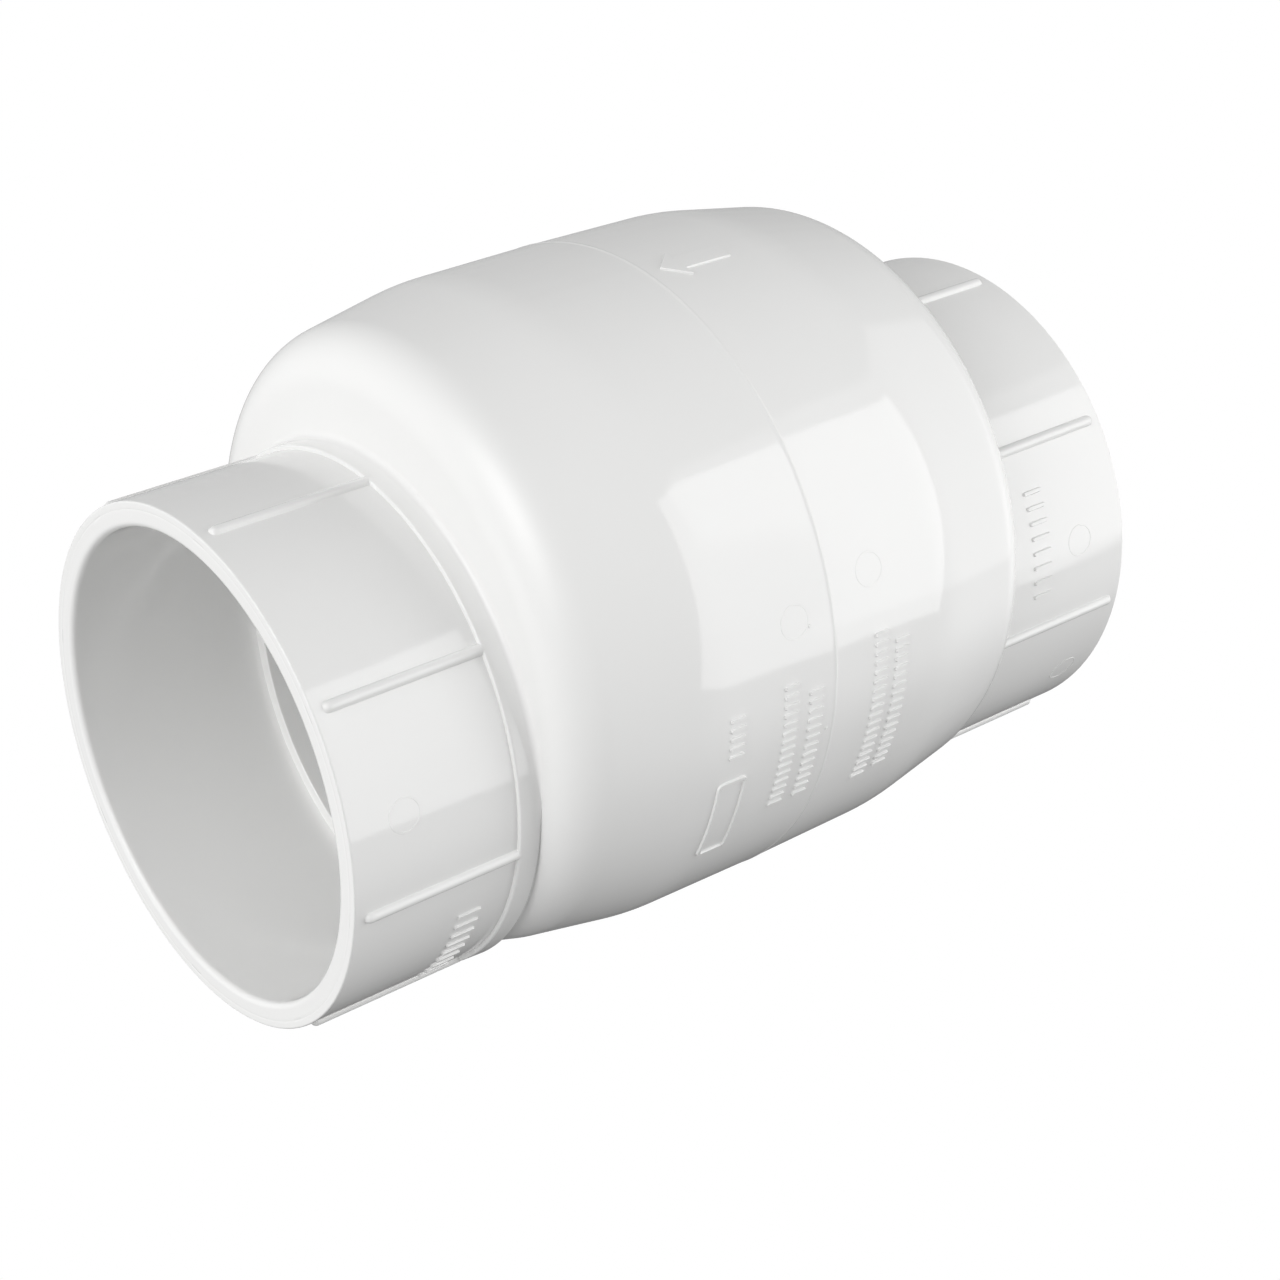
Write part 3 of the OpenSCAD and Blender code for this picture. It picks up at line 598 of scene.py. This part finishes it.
def mouth_rows(sizes, inlet):
    """Rows round the rim with its fine line, in through the bore, past the pipe stop and along the port."""
    port_r, boss_u, _ = port_sizes(sizes, inlet)
    rim_u, rim_r = MOUTH_U - sizes.rim_radius, socket_radius(sizes) - sizes.rim_radius
    rows = [arc(rim_u, rim_r, sizes.rim_radius, 0, 90, 6)]

    face = SOCKET_BORE + sizes.mouth_radius - rim_r
    line = sizes.rim_line * np.array([0.5, 0.2, -0.2, -0.5]) + rim_r + face / 3
    sunk = sizes.rim_line * 0.16 * np.array([0, 1, 1, 0])
    share = np.array([0.08, 0.2, 0.5, 0.75, 0.93])
    face_u = np.concatenate([[MOUTH_U] * 2, MOUTH_U - sunk, [MOUTH_U] * 3])
    rows.append((face_u, np.concatenate([rim_r + face * share[:2], line, rim_r + face * share[2:]])))
    swing = quarter(8)
    inner_u = MOUTH_U - sizes.mouth_radius
    inner_r = SOCKET_BORE + sizes.mouth_radius * (1 - np.sin(swing))
    rows.append((inner_u + sizes.mouth_radius * np.cos(swing), inner_r))

    rows.append((np.linspace(inner_u - 0.0003, STOP_U + STOP_CORNER + 0.0003, 14), np.full(14, SOCKET_BORE)))
    swing = quarter(6)
    rows.append((STOP_U + STOP_CORNER * (1 - np.sin(swing)), SOCKET_BORE - STOP_CORNER * (1 - np.cos(swing))))
    ledge_r = SOCKET_BORE - STOP_CORNER
    rows.append((np.full(3, STOP_U), ledge_r + (port_r + PORT_EDGE - ledge_r) * np.array([0.15, 0.5, 0.85])))
    swing = quarter(5)
    rows.append((STOP_U - PORT_EDGE * (1 - np.cos(swing)), port_r + PORT_EDGE * (1 - np.sin(swing))))
    port_u = np.linspace(STOP_U - PORT_EDGE - 0.0002, boss_u + PORT_EDGE + 0.0002, 3)
    rows.append((port_u, np.full(3, port_r)))
    rows.append((boss_u + PORT_EDGE * (1 - np.sin(swing)), port_r + PORT_EDGE * (1 - np.cos(swing))))
    return rows


def cavity_rows(sizes, angles, inlet):
    """Rows over the end and the outside of the boss, up the web and back along the cavity towards the seam.

    The cavity's wall is even inside the barrel, and thinner under it where the socket's round carries on. At
    each angle it ends at the web, or sooner where it falls to the boss's radius.
    """
    port_r, boss_u, boss_r = port_sizes(sizes, inlet)
    cavity_u = STOP_U - sizes.stop_web
    inner_u, inner_r = barrel_outline(sizes, sizes.wall)

    def inside_at(u):
        barrel_r = about_pipe(np.interp(u, inner_u, inner_r), angles)
        return smooth_max(barrel_r, socket_radius(sizes) - sizes.keel_wall, CAVITY_BLEND)

    past_boss = inside_at(np.linspace(boss_u, cavity_u, 9))
    over = (past_boss[:-1] - boss_r) / np.maximum(past_boss[:-1] - past_boss[1:], 1e-9)
    end_u = np.minimum(cavity_u, boss_u + (cavity_u - boss_u) * np.clip(over, 0, 1).mean(axis=0))[None, :]
    end_r = np.minimum(boss_r, inside_at(np.array([boss_u])))
    share = level([0.04, 0.3, 0.7, 0.96, 1.0])
    rows = [(np.full(len(share), boss_u), port_r + PORT_EDGE + (end_r - port_r - PORT_EDGE) * share)]
    share = level([0.06, 0.5, 0.94, 1.0])
    rows.append((boss_u + (end_u - boss_u) * share, np.repeat(end_r, len(share), 0)))
    wall_r = np.maximum(end_r, inside_at(end_u))
    rows.append((np.repeat(end_u, len(share), 0), end_r + (wall_r - end_r) * share))
    back_u = inner_u[::-1]
    back_u = back_u[(back_u > (0 if inlet else sizes.tongue + 0.0001)) & (back_u < cavity_u - 0.0003)]
    row_u = np.minimum(level(back_u), end_u)
    return [*rows, (row_u, np.maximum(inside_at(row_u), np.where(row_u < end_u, 0, end_r)))]


def seam_rows(sizes, angles, inlet):
    """Rows round the inlet half's tongue, or down the outlet half's step that it fits into, to the seam."""
    inner, outer = sizes.wall, sizes.wall - sizes.tongue_wall
    if inlet:
        end = -sizes.tongue + sizes.cement_gap
        u = [0, 0.6 * end, end, end, end, 0]
        depths = [inner, inner, inner, 0.5 * (inner + outer), outer, outer]
    else:
        u = [sizes.tongue, sizes.tongue, 0]
        depths = [inner, outer - sizes.cement_gap, outer - sizes.cement_gap]
    return [(u, about_pipe(BARREL_RADIUS - np.array(depths), angles))]


def shell_grid(sizes, inlet):
    """Surface of one half: rows of distance and radius form a closed outline, carried round the pipe axis.

    The outline runs out over the outside to the mouth, back through the bore and the port, and through the
    cavity to the seam. A row may change with the angle.
    """
    angles = column_angles(sizes)
    rows = [*outer_rows(sizes, angles), *mouth_rows(sizes, inlet)]
    rows += [*cavity_rows(sizes, angles, inlet), *seam_rows(sizes, angles, inlet)]
    full = [np.broadcast_arrays(level(u), level(r), angles)[:2] for u, r in rows]
    u, r = (np.concatenate([pair[k] for pair in full]) for k in (0, 1))
    x = SEAM_X + u * (-1 if inlet else 1)
    points = np.stack([x, r * np.cos(angles), r * np.sin(angles)], -1).reshape(-1, 3)
    return welded(points, grid_faces(len(u), len(angles), True, True))


def barrel_radius_at(sizes, u):
    """Radius of the barrel about its own axis at distances from the seam."""
    outline_u, outline_r = barrel_outline(sizes, 0)
    return np.interp(np.abs(u), outline_u, outline_r)


def rounded_rectangle(half_a, half_b, corner, steps=5):
    """Corner centres and outward directions round a rectangle; centre + radius x direction is a loop."""
    starts = (0, 90, 180, 270)
    swing = np.radians(np.concatenate([np.linspace(start, start + 90, steps) for start in starts]))
    side_a = np.repeat([1, -1, -1, 1], steps) * (half_a - corner)
    side_b = np.repeat([1, 1, -1, -1], steps) * (half_b - corner)
    return np.stack([side_a, side_b], -1), np.stack([np.cos(swing), np.sin(swing)], -1)


def flapper_stop(sizes, side):
    """A stop rib on the roof of the outlet half.

    Its section is a rounded rectangle, carried square to the back of the open flapper until it meets the
    inside of the barrel, where its root flares as a quarter circle. Where each line of the section meets the
    barrel is found by halving.
    """
    joint = frame["record"]["behaviour"]["joints"][0]
    lean = sizes.seat_angle + math.radians(joint["range_deg"][1])
    hinge = np.array(joint["pos_m"])
    out = np.array([math.cos(lean), 0, math.sin(lean)])
    along = np.array([math.sin(lean), 0, -math.cos(lean)])
    corner, front, root = STOP_ROUNDINGS
    half_length = (sizes.stop_to - sizes.stop_from) / 2
    centres, directions = rounded_rectangle(sizes.stop_thickness / 2, half_length, corner)
    middle = hinge + (sizes.stop_to + sizes.stop_from) / 2 * along
    middle = middle + np.array([0, side * sizes.stop_spread, 0])
    inner_u, inner_r = barrel_outline(sizes, sizes.wall)

    def at(loop, distance):
        across = loop[..., :1] * np.array([0, 1, 0]) + loop[..., 1:] * along
        return middle + across + distance[..., None] * out

    near, far = np.zeros(len(centres)), np.full(len(centres), STOP_REACH)
    for _ in range(HALVINGS):
        half_way = (near + far) / 2
        point = at(centres + corner * directions, half_way)
        wall_r = np.interp(point[:, 0] - SEAM_X, inner_u, inner_r)
        within = np.hypot(point[:, 1], point[:, 2] - BARREL_RISE) < wall_r
        near, far = np.where(within, half_way, near), np.where(within, far, half_way)
    loops, distances = [centres * 0, centres * 0.6], [np.full(len(near), sizes.stop_face)] * 2
    for swing in np.radians([0, 30, 60, 90]):
        loops.append(centres + (corner - front * (1 - math.sin(swing))) * directions)
        distances.append(np.full(len(near), sizes.stop_face + front * (1 - math.cos(swing))))
    for swing in np.radians([0, 25, 50, 70, 90]):
        loops.append(centres + (corner + root * (1 - math.cos(swing))) * directions)
        distances.append(near - root * (1 - math.sin(swing)))
    loops += [loops[-1], centres * 0]
    distances += [near + STOP_ROOT] * 2
    points = at(np.array(loops), np.array(distances)).reshape(-1, 3)
    return welded(points, grid_faces(len(loops), len(near), False, True))


def raised_loop(loop, width, relief, place):
    """A low raised strip along a closed loop, set off along its normal: a flat top with bevelled sides."""
    bevel = min(MARK_BEVEL, BEVEL_SHARE * relief)
    ahead = np.roll(loop, -1, 0) - np.roll(loop, 1, 0)
    ahead = ahead / np.linalg.norm(ahead, axis=1)[:, None]
    normal = np.stack([-ahead[:, 1], ahead[:, 0]], -1)
    offset = np.array([-1, -1, -1, 1, 1, 1]) * (width / 2 + bevel * np.array([1, 1, 0, 0, 1, 1]))
    height = np.array([-MARK_ROOT, 0, relief, relief, 0, -MARK_ROOT])
    grid = loop[:, None] + normal[:, None] * offset[None, :, None]
    points = place(grid[..., 0], grid[..., 1], np.broadcast_to(height, grid.shape[:2])).reshape(-1, 3)
    return welded(points, grid_faces(len(loop), len(height), True, True))


def raised_strip(station, half_width, relief, place, lanes=6):
    """A low raised strip: a flat top with bevelled sides, carried along and drawn to each station's width.

    place turns arrays of distance along, distance across and height into points on what carries the strip.
    """
    bevel = min(MARK_BEVEL, BEVEL_SHARE * relief)
    across = np.concatenate([[-1, -1], np.linspace(-1, 1, lanes), [1, 1]])
    spread = np.concatenate([[bevel, bevel], np.zeros(lanes), [bevel, bevel]])
    height = np.concatenate([[-MARK_ROOT, 0], np.full(lanes, relief), [0, -MARK_ROOT]])
    along = np.concatenate([[station[0] - bevel] * 2, station, [station[-1] + bevel] * 2])
    half = np.concatenate([[half_width[0]] * 2, half_width, [half_width[-1]] * 2])
    lateral = across[None, :] * half[:, None] + np.sign(across)[None, :] * spread[None, :]
    raise_by = np.broadcast_to(height, lateral.shape).copy()
    raise_by[[1, -2]] = np.minimum(raise_by[[1, -2]], 0)
    raise_by[[0, -1]] = -MARK_ROOT
    points = place(np.broadcast_to(along[:, None], lateral.shape), lateral, raise_by).reshape(-1, 3)
    return welded(points, grid_faces(len(along), len(across), False, True))


def place_on(sizes, carrier, degrees):
    """Places marks on the barrel or a socket: along is X, across is measured round it from an angle."""
    angle = math.radians(degrees)

    def place(x, across, height):
        if carrier == "barrel":
            radius, rise = barrel_radius_at(sizes, x - SEAM_X), BARREL_RISE
        else:
            radius, rise = socket_radius(sizes), 0
        turned = angle + across / radius
        out = radius + height
        return np.stack([x, out * np.cos(turned), rise + out * np.sin(turned)], -1)

    return place


def refined_copy(node, slot, body, bevel):
    """A CAD node with its triangles merged, its flat faces joined and its edges rounded by a live bevel."""
    name = f"{node}_finished"
    mesh = frame["nodes"][node].data.copy()
    mesh.name = name
    work = bmesh.new()
    work.from_mesh(mesh)
    bmesh.ops.remove_doubles(work, verts=work.verts, dist=2 * WELD_DISTANCE)
    bmesh.ops.dissolve_limit(work, angle_limit=math.radians(0.5), verts=work.verts, edges=work.edges)
    bmesh.ops.recalc_face_normals(work, faces=work.faces)
    work.to_mesh(mesh)
    work.free()
    piece = new_piece(name, mesh, slot, body, sharp=30)
    if bevel:
        rounding = piece.modifiers.new("rounding", "BEVEL")
        rounding.width = bevel
        rounding.segments = 2
        rounding.limit_method = "ANGLE"
        rounding.angle_limit = math.radians(35)
        rounding.use_clamp_overlap = True
        rounding.harden_normals = True
    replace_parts(piece, node)
    return piece


class VALVE_OT_shells(bpy.types.Operator):
    """Builds the inlet and outlet halves"""

    bl_idname = "valve.shells"
    bl_label = "Moulded Halves"

    def execute(self, context):
        sizes = context.scene.valve_shell
        halves = (("inlet_shell", "inlet_body", True), ("outlet_shell", "outlet_body", False))
        for name, node, inlet in halves:
            stops = [] if inlet else [flapper_stop(sizes, side) for side in (-1, 1)]
            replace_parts(moulded_piece(name, [shell_grid(sizes, inlet), *stops]), node)
        return {"FINISHED"}


class VALVE_OT_flow_arrow(bpy.types.Operator):
    """Builds the raised arrow on the inlet half, which points along the flow"""

    bl_idname = "valve.flow_arrow"
    bl_label = "Flow Arrow"

    def execute(self, context):
        sizes, marks = context.scene.valve_shell, context.scene.valve_marks
        tip = SEAM_X - marks.arrow_tip
        barb = tip - marks.arrow_head
        shaft = np.linspace(tip - marks.arrow_length, barb, 8)
        head = np.linspace(barb, tip, 8)
        shaft_half = np.full(8, marks.arrow_shaft / 2)
        head_half = np.linspace(marks.arrow_span / 2, ARROW_TIP_HALF, 8)
        station, half = np.concatenate([shaft, head]), np.concatenate([shaft_half, head_half])
        place = place_on(sizes, "barrel", 90)
        moulded_piece("flow_arrow", [raised_strip(station, half, marks.arrow_relief, place)])
        return {"FINISHED"}


# Rows of ticks: carrier, X, first and last angle round it in degrees, scale
TICK_ROWS = (
    ("barrel", 0.09835, 2.0, 10.6, 1.0),
    ("barrel", 0.08235, -13.0, 12.5, 1.0),
    ("barrel", 0.07485, -13.0, 10.0, 1.0),
    ("barrel", 0.05435, -16.0, 15.5, 1.0),
    ("barrel", 0.04785, -15.0, 13.0, 1.0),
    ("socket", -0.02165, 7.6, 36.0, 1.5),
    ("socket", 0.15705, -41.0, -10.0, 1.5),
)

# Single marks: carrier, X of the middle, angle
EMPTY_FRAME = ("barrel", 0.0986, -10.5)
PIN_MARKS = (
    ("barrel", 0.08015, 22.4),
    ("barrel", 0.05625, 26.2),
    ("socket", 0.17485, 19.6),
    ("socket", -0.03545, 19.1),
    ("socket", -0.04055, -20.3),
)
FLASH_PIPS = (("barrel", 0.07085, 0.8), ("barrel", 0.07625, 20.9))

# A tick's outline as shares of its length and half width, and a pip's length, width and height as shares of
# a tick's
TICK_ALONG = np.array([-0.5, -0.44, 0.44, 0.5])
TICK_HALF = np.array([0.6, 1, 1, 0.6])
PIP_SHARES = (0.12, 0.7, 0.5)


class VALVE_OT_plain_marks(bpy.types.Operator):
    """Builds plain raised ticks, an empty frame, faint pin marks and two flash pips on the halves"""

    bl_idname = "valve.plain_marks"
    bl_label = "Plain Marks"

    def execute(self, context):
        sizes, marks = context.scene.valve_shell, context.scene.valve_marks
        along, half = TICK_ALONG * marks.tick_height, TICK_HALF * marks.tick_width / 2
        parts = []
        for carrier, x, first, last, scale in TICK_ROWS:
            radius = BARREL_RADIUS if carrier == "barrel" else socket_radius(sizes)
            count = int(math.radians(last - first) * radius / (scale * marks.tick_pitch))
            for degrees in first + (last - first) * (np.arange(count) + 0.5) / count:
                place = place_on(sizes, carrier, degrees)
                parts.append(raised_strip(x + scale * along, half, marks.relief, place, lanes=2))

        carrier, x, degrees = EMPTY_FRAME
        half_sides = marks.frame_length / 2, marks.frame_span / 2
        centres, directions = rounded_rectangle(*half_sides, FRAME_CORNER, steps=7)
        corners = centres + FRAME_CORNER * directions
        sides = [(a, b) for a, b in zip(corners, np.roll(corners, -1, 0)) if abs(a - b).max() > 1e-7]
        loop = np.concatenate([np.linspace(a, b, 9)[:-1] for a, b in sides]) + [x, 0]
        parts.append(raised_loop(loop, marks.tick_width, marks.relief, place_on(sizes, carrier, degrees)))

        swing = np.linspace(0, 2 * math.pi, 49)[:-1]
        ring = marks.ring_radius * np.stack([np.cos(swing), np.sin(swing)], -1)
        for carrier, x, degrees in PIN_MARKS:
            place = place_on(sizes, carrier, degrees)
            parts.append(raised_loop(ring + [x, 0], marks.ring_width, marks.ring_relief, place))

        length, width, height = PIP_SHARES
        for carrier, x, degrees in FLASH_PIPS:
            place = place_on(sizes, carrier, degrees)
            relief = height * marks.relief
            parts.append(raised_strip(x + length * along, width * half, relief, place, lanes=2))
        moulded_piece("plain_marks", parts)
        return {"FINISHED"}


def soft_box(name, towards, up, spread, glow):
    """A rectangular soft box that faces the valve's middle, from a direction and with its height towards up.

    Its spread is its width and height as shares of its distance, and glow is its radiance.
    """
    back = Vector(towards).normalized()
    side = Vector(up).cross(back).normalized()
    data = bpy.data.lights.new(name, "AREA")
    data.shape = "RECTANGLE"
    data.size, data.size_y = (BOX_DISTANCE * share for share in spread)
    data.energy = glow * math.pi * data.size * data.size_y
    light = bpy.data.objects.new(name, data)
    turned = Matrix((side, back.cross(side), back)).transposed().to_4x4()
    light.matrix_world = Matrix.Translation(VALVE_MIDDLE + back * BOX_DISTANCE) @ turned
    light.visible_camera = False
    bpy.context.scene.collection.objects.link(light)


def sky_patches(tree, place, patches):
    """Node with the sum of the patches: radiance times the cosine from the direction to a power."""
    math_node, total = "ShaderNodeMath", None
    for towards, power, radiance in patches:
        slope = add_node(
            tree,
            "ShaderNodeVectorMath",
            [("Vector", place, "Generated")],
            {1: Vector(towards).normalized()},
            operation="DOT_PRODUCT",
        )
        facing = add_node(tree, math_node, [(0, slope, "Value")], {1: 0.0}, operation="MAXIMUM")
        narrowed = add_node(tree, math_node, [(0, facing, "Value")], {1: power}, operation="POWER")
        links = [(0, narrowed, "Value"), *([(2, total, "Value")] if total else [])]
        total = add_node(tree, math_node, links, {1: radiance, 2: 0.0}, operation="MULTIPLY_ADD")
    return total


def studio_world():
    """Soft light in patches, some of which end under the valve, with plain white where the camera looks."""
    studio = bpy.context.scene.valve_studio
    world = bpy.data.worlds.new("studio_world")
    world.use_nodes = True
    tree = world.node_tree
    tree.nodes.clear()
    place = add_node(tree, "ShaderNodeTexCoord")
    axes = add_node(tree, "ShaderNodeSeparateXYZ", [("Vector", place, "Generated")])
    fall = add_node(
        tree,
        "ShaderNodeMapRange",
        [("Value", axes, "Z")],
        {"From Min": studio.dark_below, "From Max": studio.light_above},
        interpolation_type="SMOOTHSTEP",
    )
    above = sky_patches(tree, place, PATCHES_ABOVE)
    all_round = sky_patches(tree, place, PATCHES_ALL_ROUND)
    parts = [(0, above, "Value"), (1, fall, "Result"), (2, all_round, "Value")]
    glow = add_node(tree, "ShaderNodeMath", parts, operation="MULTIPLY_ADD")
    seen = add_node(tree, "ShaderNodeLightPath")
    choice = [("Factor", seen, "Is Camera Ray"), ("A", glow, "Value")]
    strength = add_node(tree, "ShaderNodeMix", choice, {"B": 1.0})
    back = add_node(tree, "ShaderNodeBackground", [("Strength", strength, "Result")], {"Color": (1, 1, 1, 1)})
    add_node(tree, "ShaderNodeOutputWorld", [("Surface", back, "Background")])
    bpy.context.scene.world = world


class VALVE_OT_studio(bpy.types.Operator):
    """Builds the floor, the lights and the camera"""

    bl_idname = "valve.studio"
    bl_label = "Studio"

    def execute(self, context):
        scene = context.scene
        studio = scene.valve_studio
        extent = studio.floor_size / 2
        mesh = bpy.data.meshes.new("studio_floor")
        corners = [(-extent, -extent), (extent, -extent), (extent, extent), (-extent, extent)]
        mesh.from_pydata([(x, y, -studio.floor_drop) for x, y in corners], [], [(0, 1, 2, 3)])
        mesh.materials.append(material_of("pale_floor", white_floor))
        floor = bpy.data.objects.new("studio_floor", mesh)
        floor.visible_diffuse = False
        floor.visible_glossy = False
        floor.visible_shadow = False
        scene.collection.objects.link(floor)
        floor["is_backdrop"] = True

        studio_world()
        for (name, towards, up, spread), glow in zip(SOFT_BOXES, (studio.side_glow, studio.wide_glow)):
            soft_box(name, towards, up, spread, glow)

        forward = (CAMERA_AIM - CAMERA_PLACE).normalized()
        right = forward.cross(Vector((0, 0, 1))).normalized()
        up = right.cross(forward)
        leaned_up = up * math.cos(studio.roll) - right * math.sin(studio.roll)
        leaned_right = right * math.cos(studio.roll) + up * math.sin(studio.roll)
        turned = Matrix((leaned_right, leaned_up, -forward)).transposed().to_4x4()
        data = bpy.data.cameras.new("photo_camera")
        data.lens = studio.lens
        data.sensor_width = SENSOR_WIDTH
        data.clip_start = 0.01
        camera = bpy.data.objects.new("photo_camera", data)
        camera.matrix_world = Matrix.Translation(CAMERA_PLACE) @ turned
        scene.collection.objects.link(camera)
        scene.camera = camera
        scene.view_settings.view_transform = "Standard"
        return {"FINISHED"}


# Inner CAD nodes: slot and width of the bevel on their edges
INNER_NODES = {
    "seat_ring": ("white_pvc", 0.0003),
    "seat_o_ring": ("black_epdm", 0),
    "seat_screw_1": ("stainless_steel", 0.0002),
    "seat_screw_2": ("stainless_steel", 0.0002),
    "seat_screw_3": ("stainless_steel", 0.0002),
    "seat_screw_4": ("stainless_steel", 0.0002),
    "hinge_pin": ("stainless_steel", 0.0001),
    "pin_clip_left": ("stainless_steel", 0.0001),
    "pin_clip_right": ("stainless_steel", 0.0001),
    "flapper_disc": ("white_pvc", 0.0003),
    "flapper_facing": ("black_epdm", 0),
    "clamp_plate": ("stainless_steel", 0.0002),
    "clamp_bolt": ("stainless_steel", 0.0003),
    "bolt_washer": ("stainless_steel", 0.0002),
    "nut_washer": ("stainless_steel", 0.0002),
    "lock_nut": ("stainless_steel", 0.0003),
    "hinge_bush_left": ("natural_acetal", 0.0001),
    "hinge_bush_right": ("natural_acetal", 0.0001),
}


class VALVE_OT_inner_pieces(bpy.types.Operator):
    """Builds the seat, the hinge and the flapper"""

    bl_idname = "valve.inner_pieces"
    bl_label = "Inner Pieces"

    def execute(self, context):
        bodies = frame["record"]["behaviour"]["bodies"]
        for node, (slot, bevel) in INNER_NODES.items():
            body = FLAPPER_BODY if node in bodies[FLAPPER_BODY] else FIXED_BODY
            refined_copy(node, slot, body, bevel)
        return {"FINISHED"}


class VALVE_PT_panel(bpy.types.Panel):
    """Lists the valve's operators"""

    bl_idname = "VALVE_PT_panel"
    bl_label = "Swing Non-Return Valve"
    bl_space_type = "VIEW_3D"
    bl_region_type = "UI"
    bl_category = "Valve"

    def draw(self, context):
        for operator in OPERATORS:
            self.layout.operator(operator.bl_idname)


OPERATORS = (
    VALVE_OT_studio,
    VALVE_OT_shells,
    VALVE_OT_flow_arrow,
    VALVE_OT_plain_marks,
    VALVE_OT_inner_pieces,
)
GROUPS = {
    "valve_shell": ValveShellSizes,
    "valve_marks": ValveMarkSizes,
    "valve_finish": ValveFinish,
    "valve_studio": ValveStudio,
}


def register():
    """Registers the classes and hangs each property group on the scene."""
    for group in GROUPS.values():
        bpy.utils.register_class(group)
    for operator in OPERATORS:
        bpy.utils.register_class(operator)
    bpy.utils.register_class(VALVE_PT_panel)
    for name, group in GROUPS.items():
        setattr(bpy.types.Scene, name, PointerProperty(type=group))


def unregister():
    """Undoes register."""
    for name in GROUPS:
        delattr(bpy.types.Scene, name)
    bpy.utils.unregister_class(VALVE_PT_panel)
    for operator in reversed(OPERATORS):
        bpy.utils.unregister_class(operator)
    for group in reversed(GROUPS.values()):
        bpy.utils.unregister_class(group)


def main():
    """Builds every piece."""
    register()
    for operator in OPERATORS:
        group, name = operator.bl_idname.split(".")
        getattr(getattr(bpy.ops, group), name)()
    bpy.context.view_layer.update()
    boxes = {"cad": CAD_BOX, "visual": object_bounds()}
    boxes = {name: [[float(v) for v in corner] for corner in box] for name, box in boxes.items()}


if __name__ == "__main__":
    main()
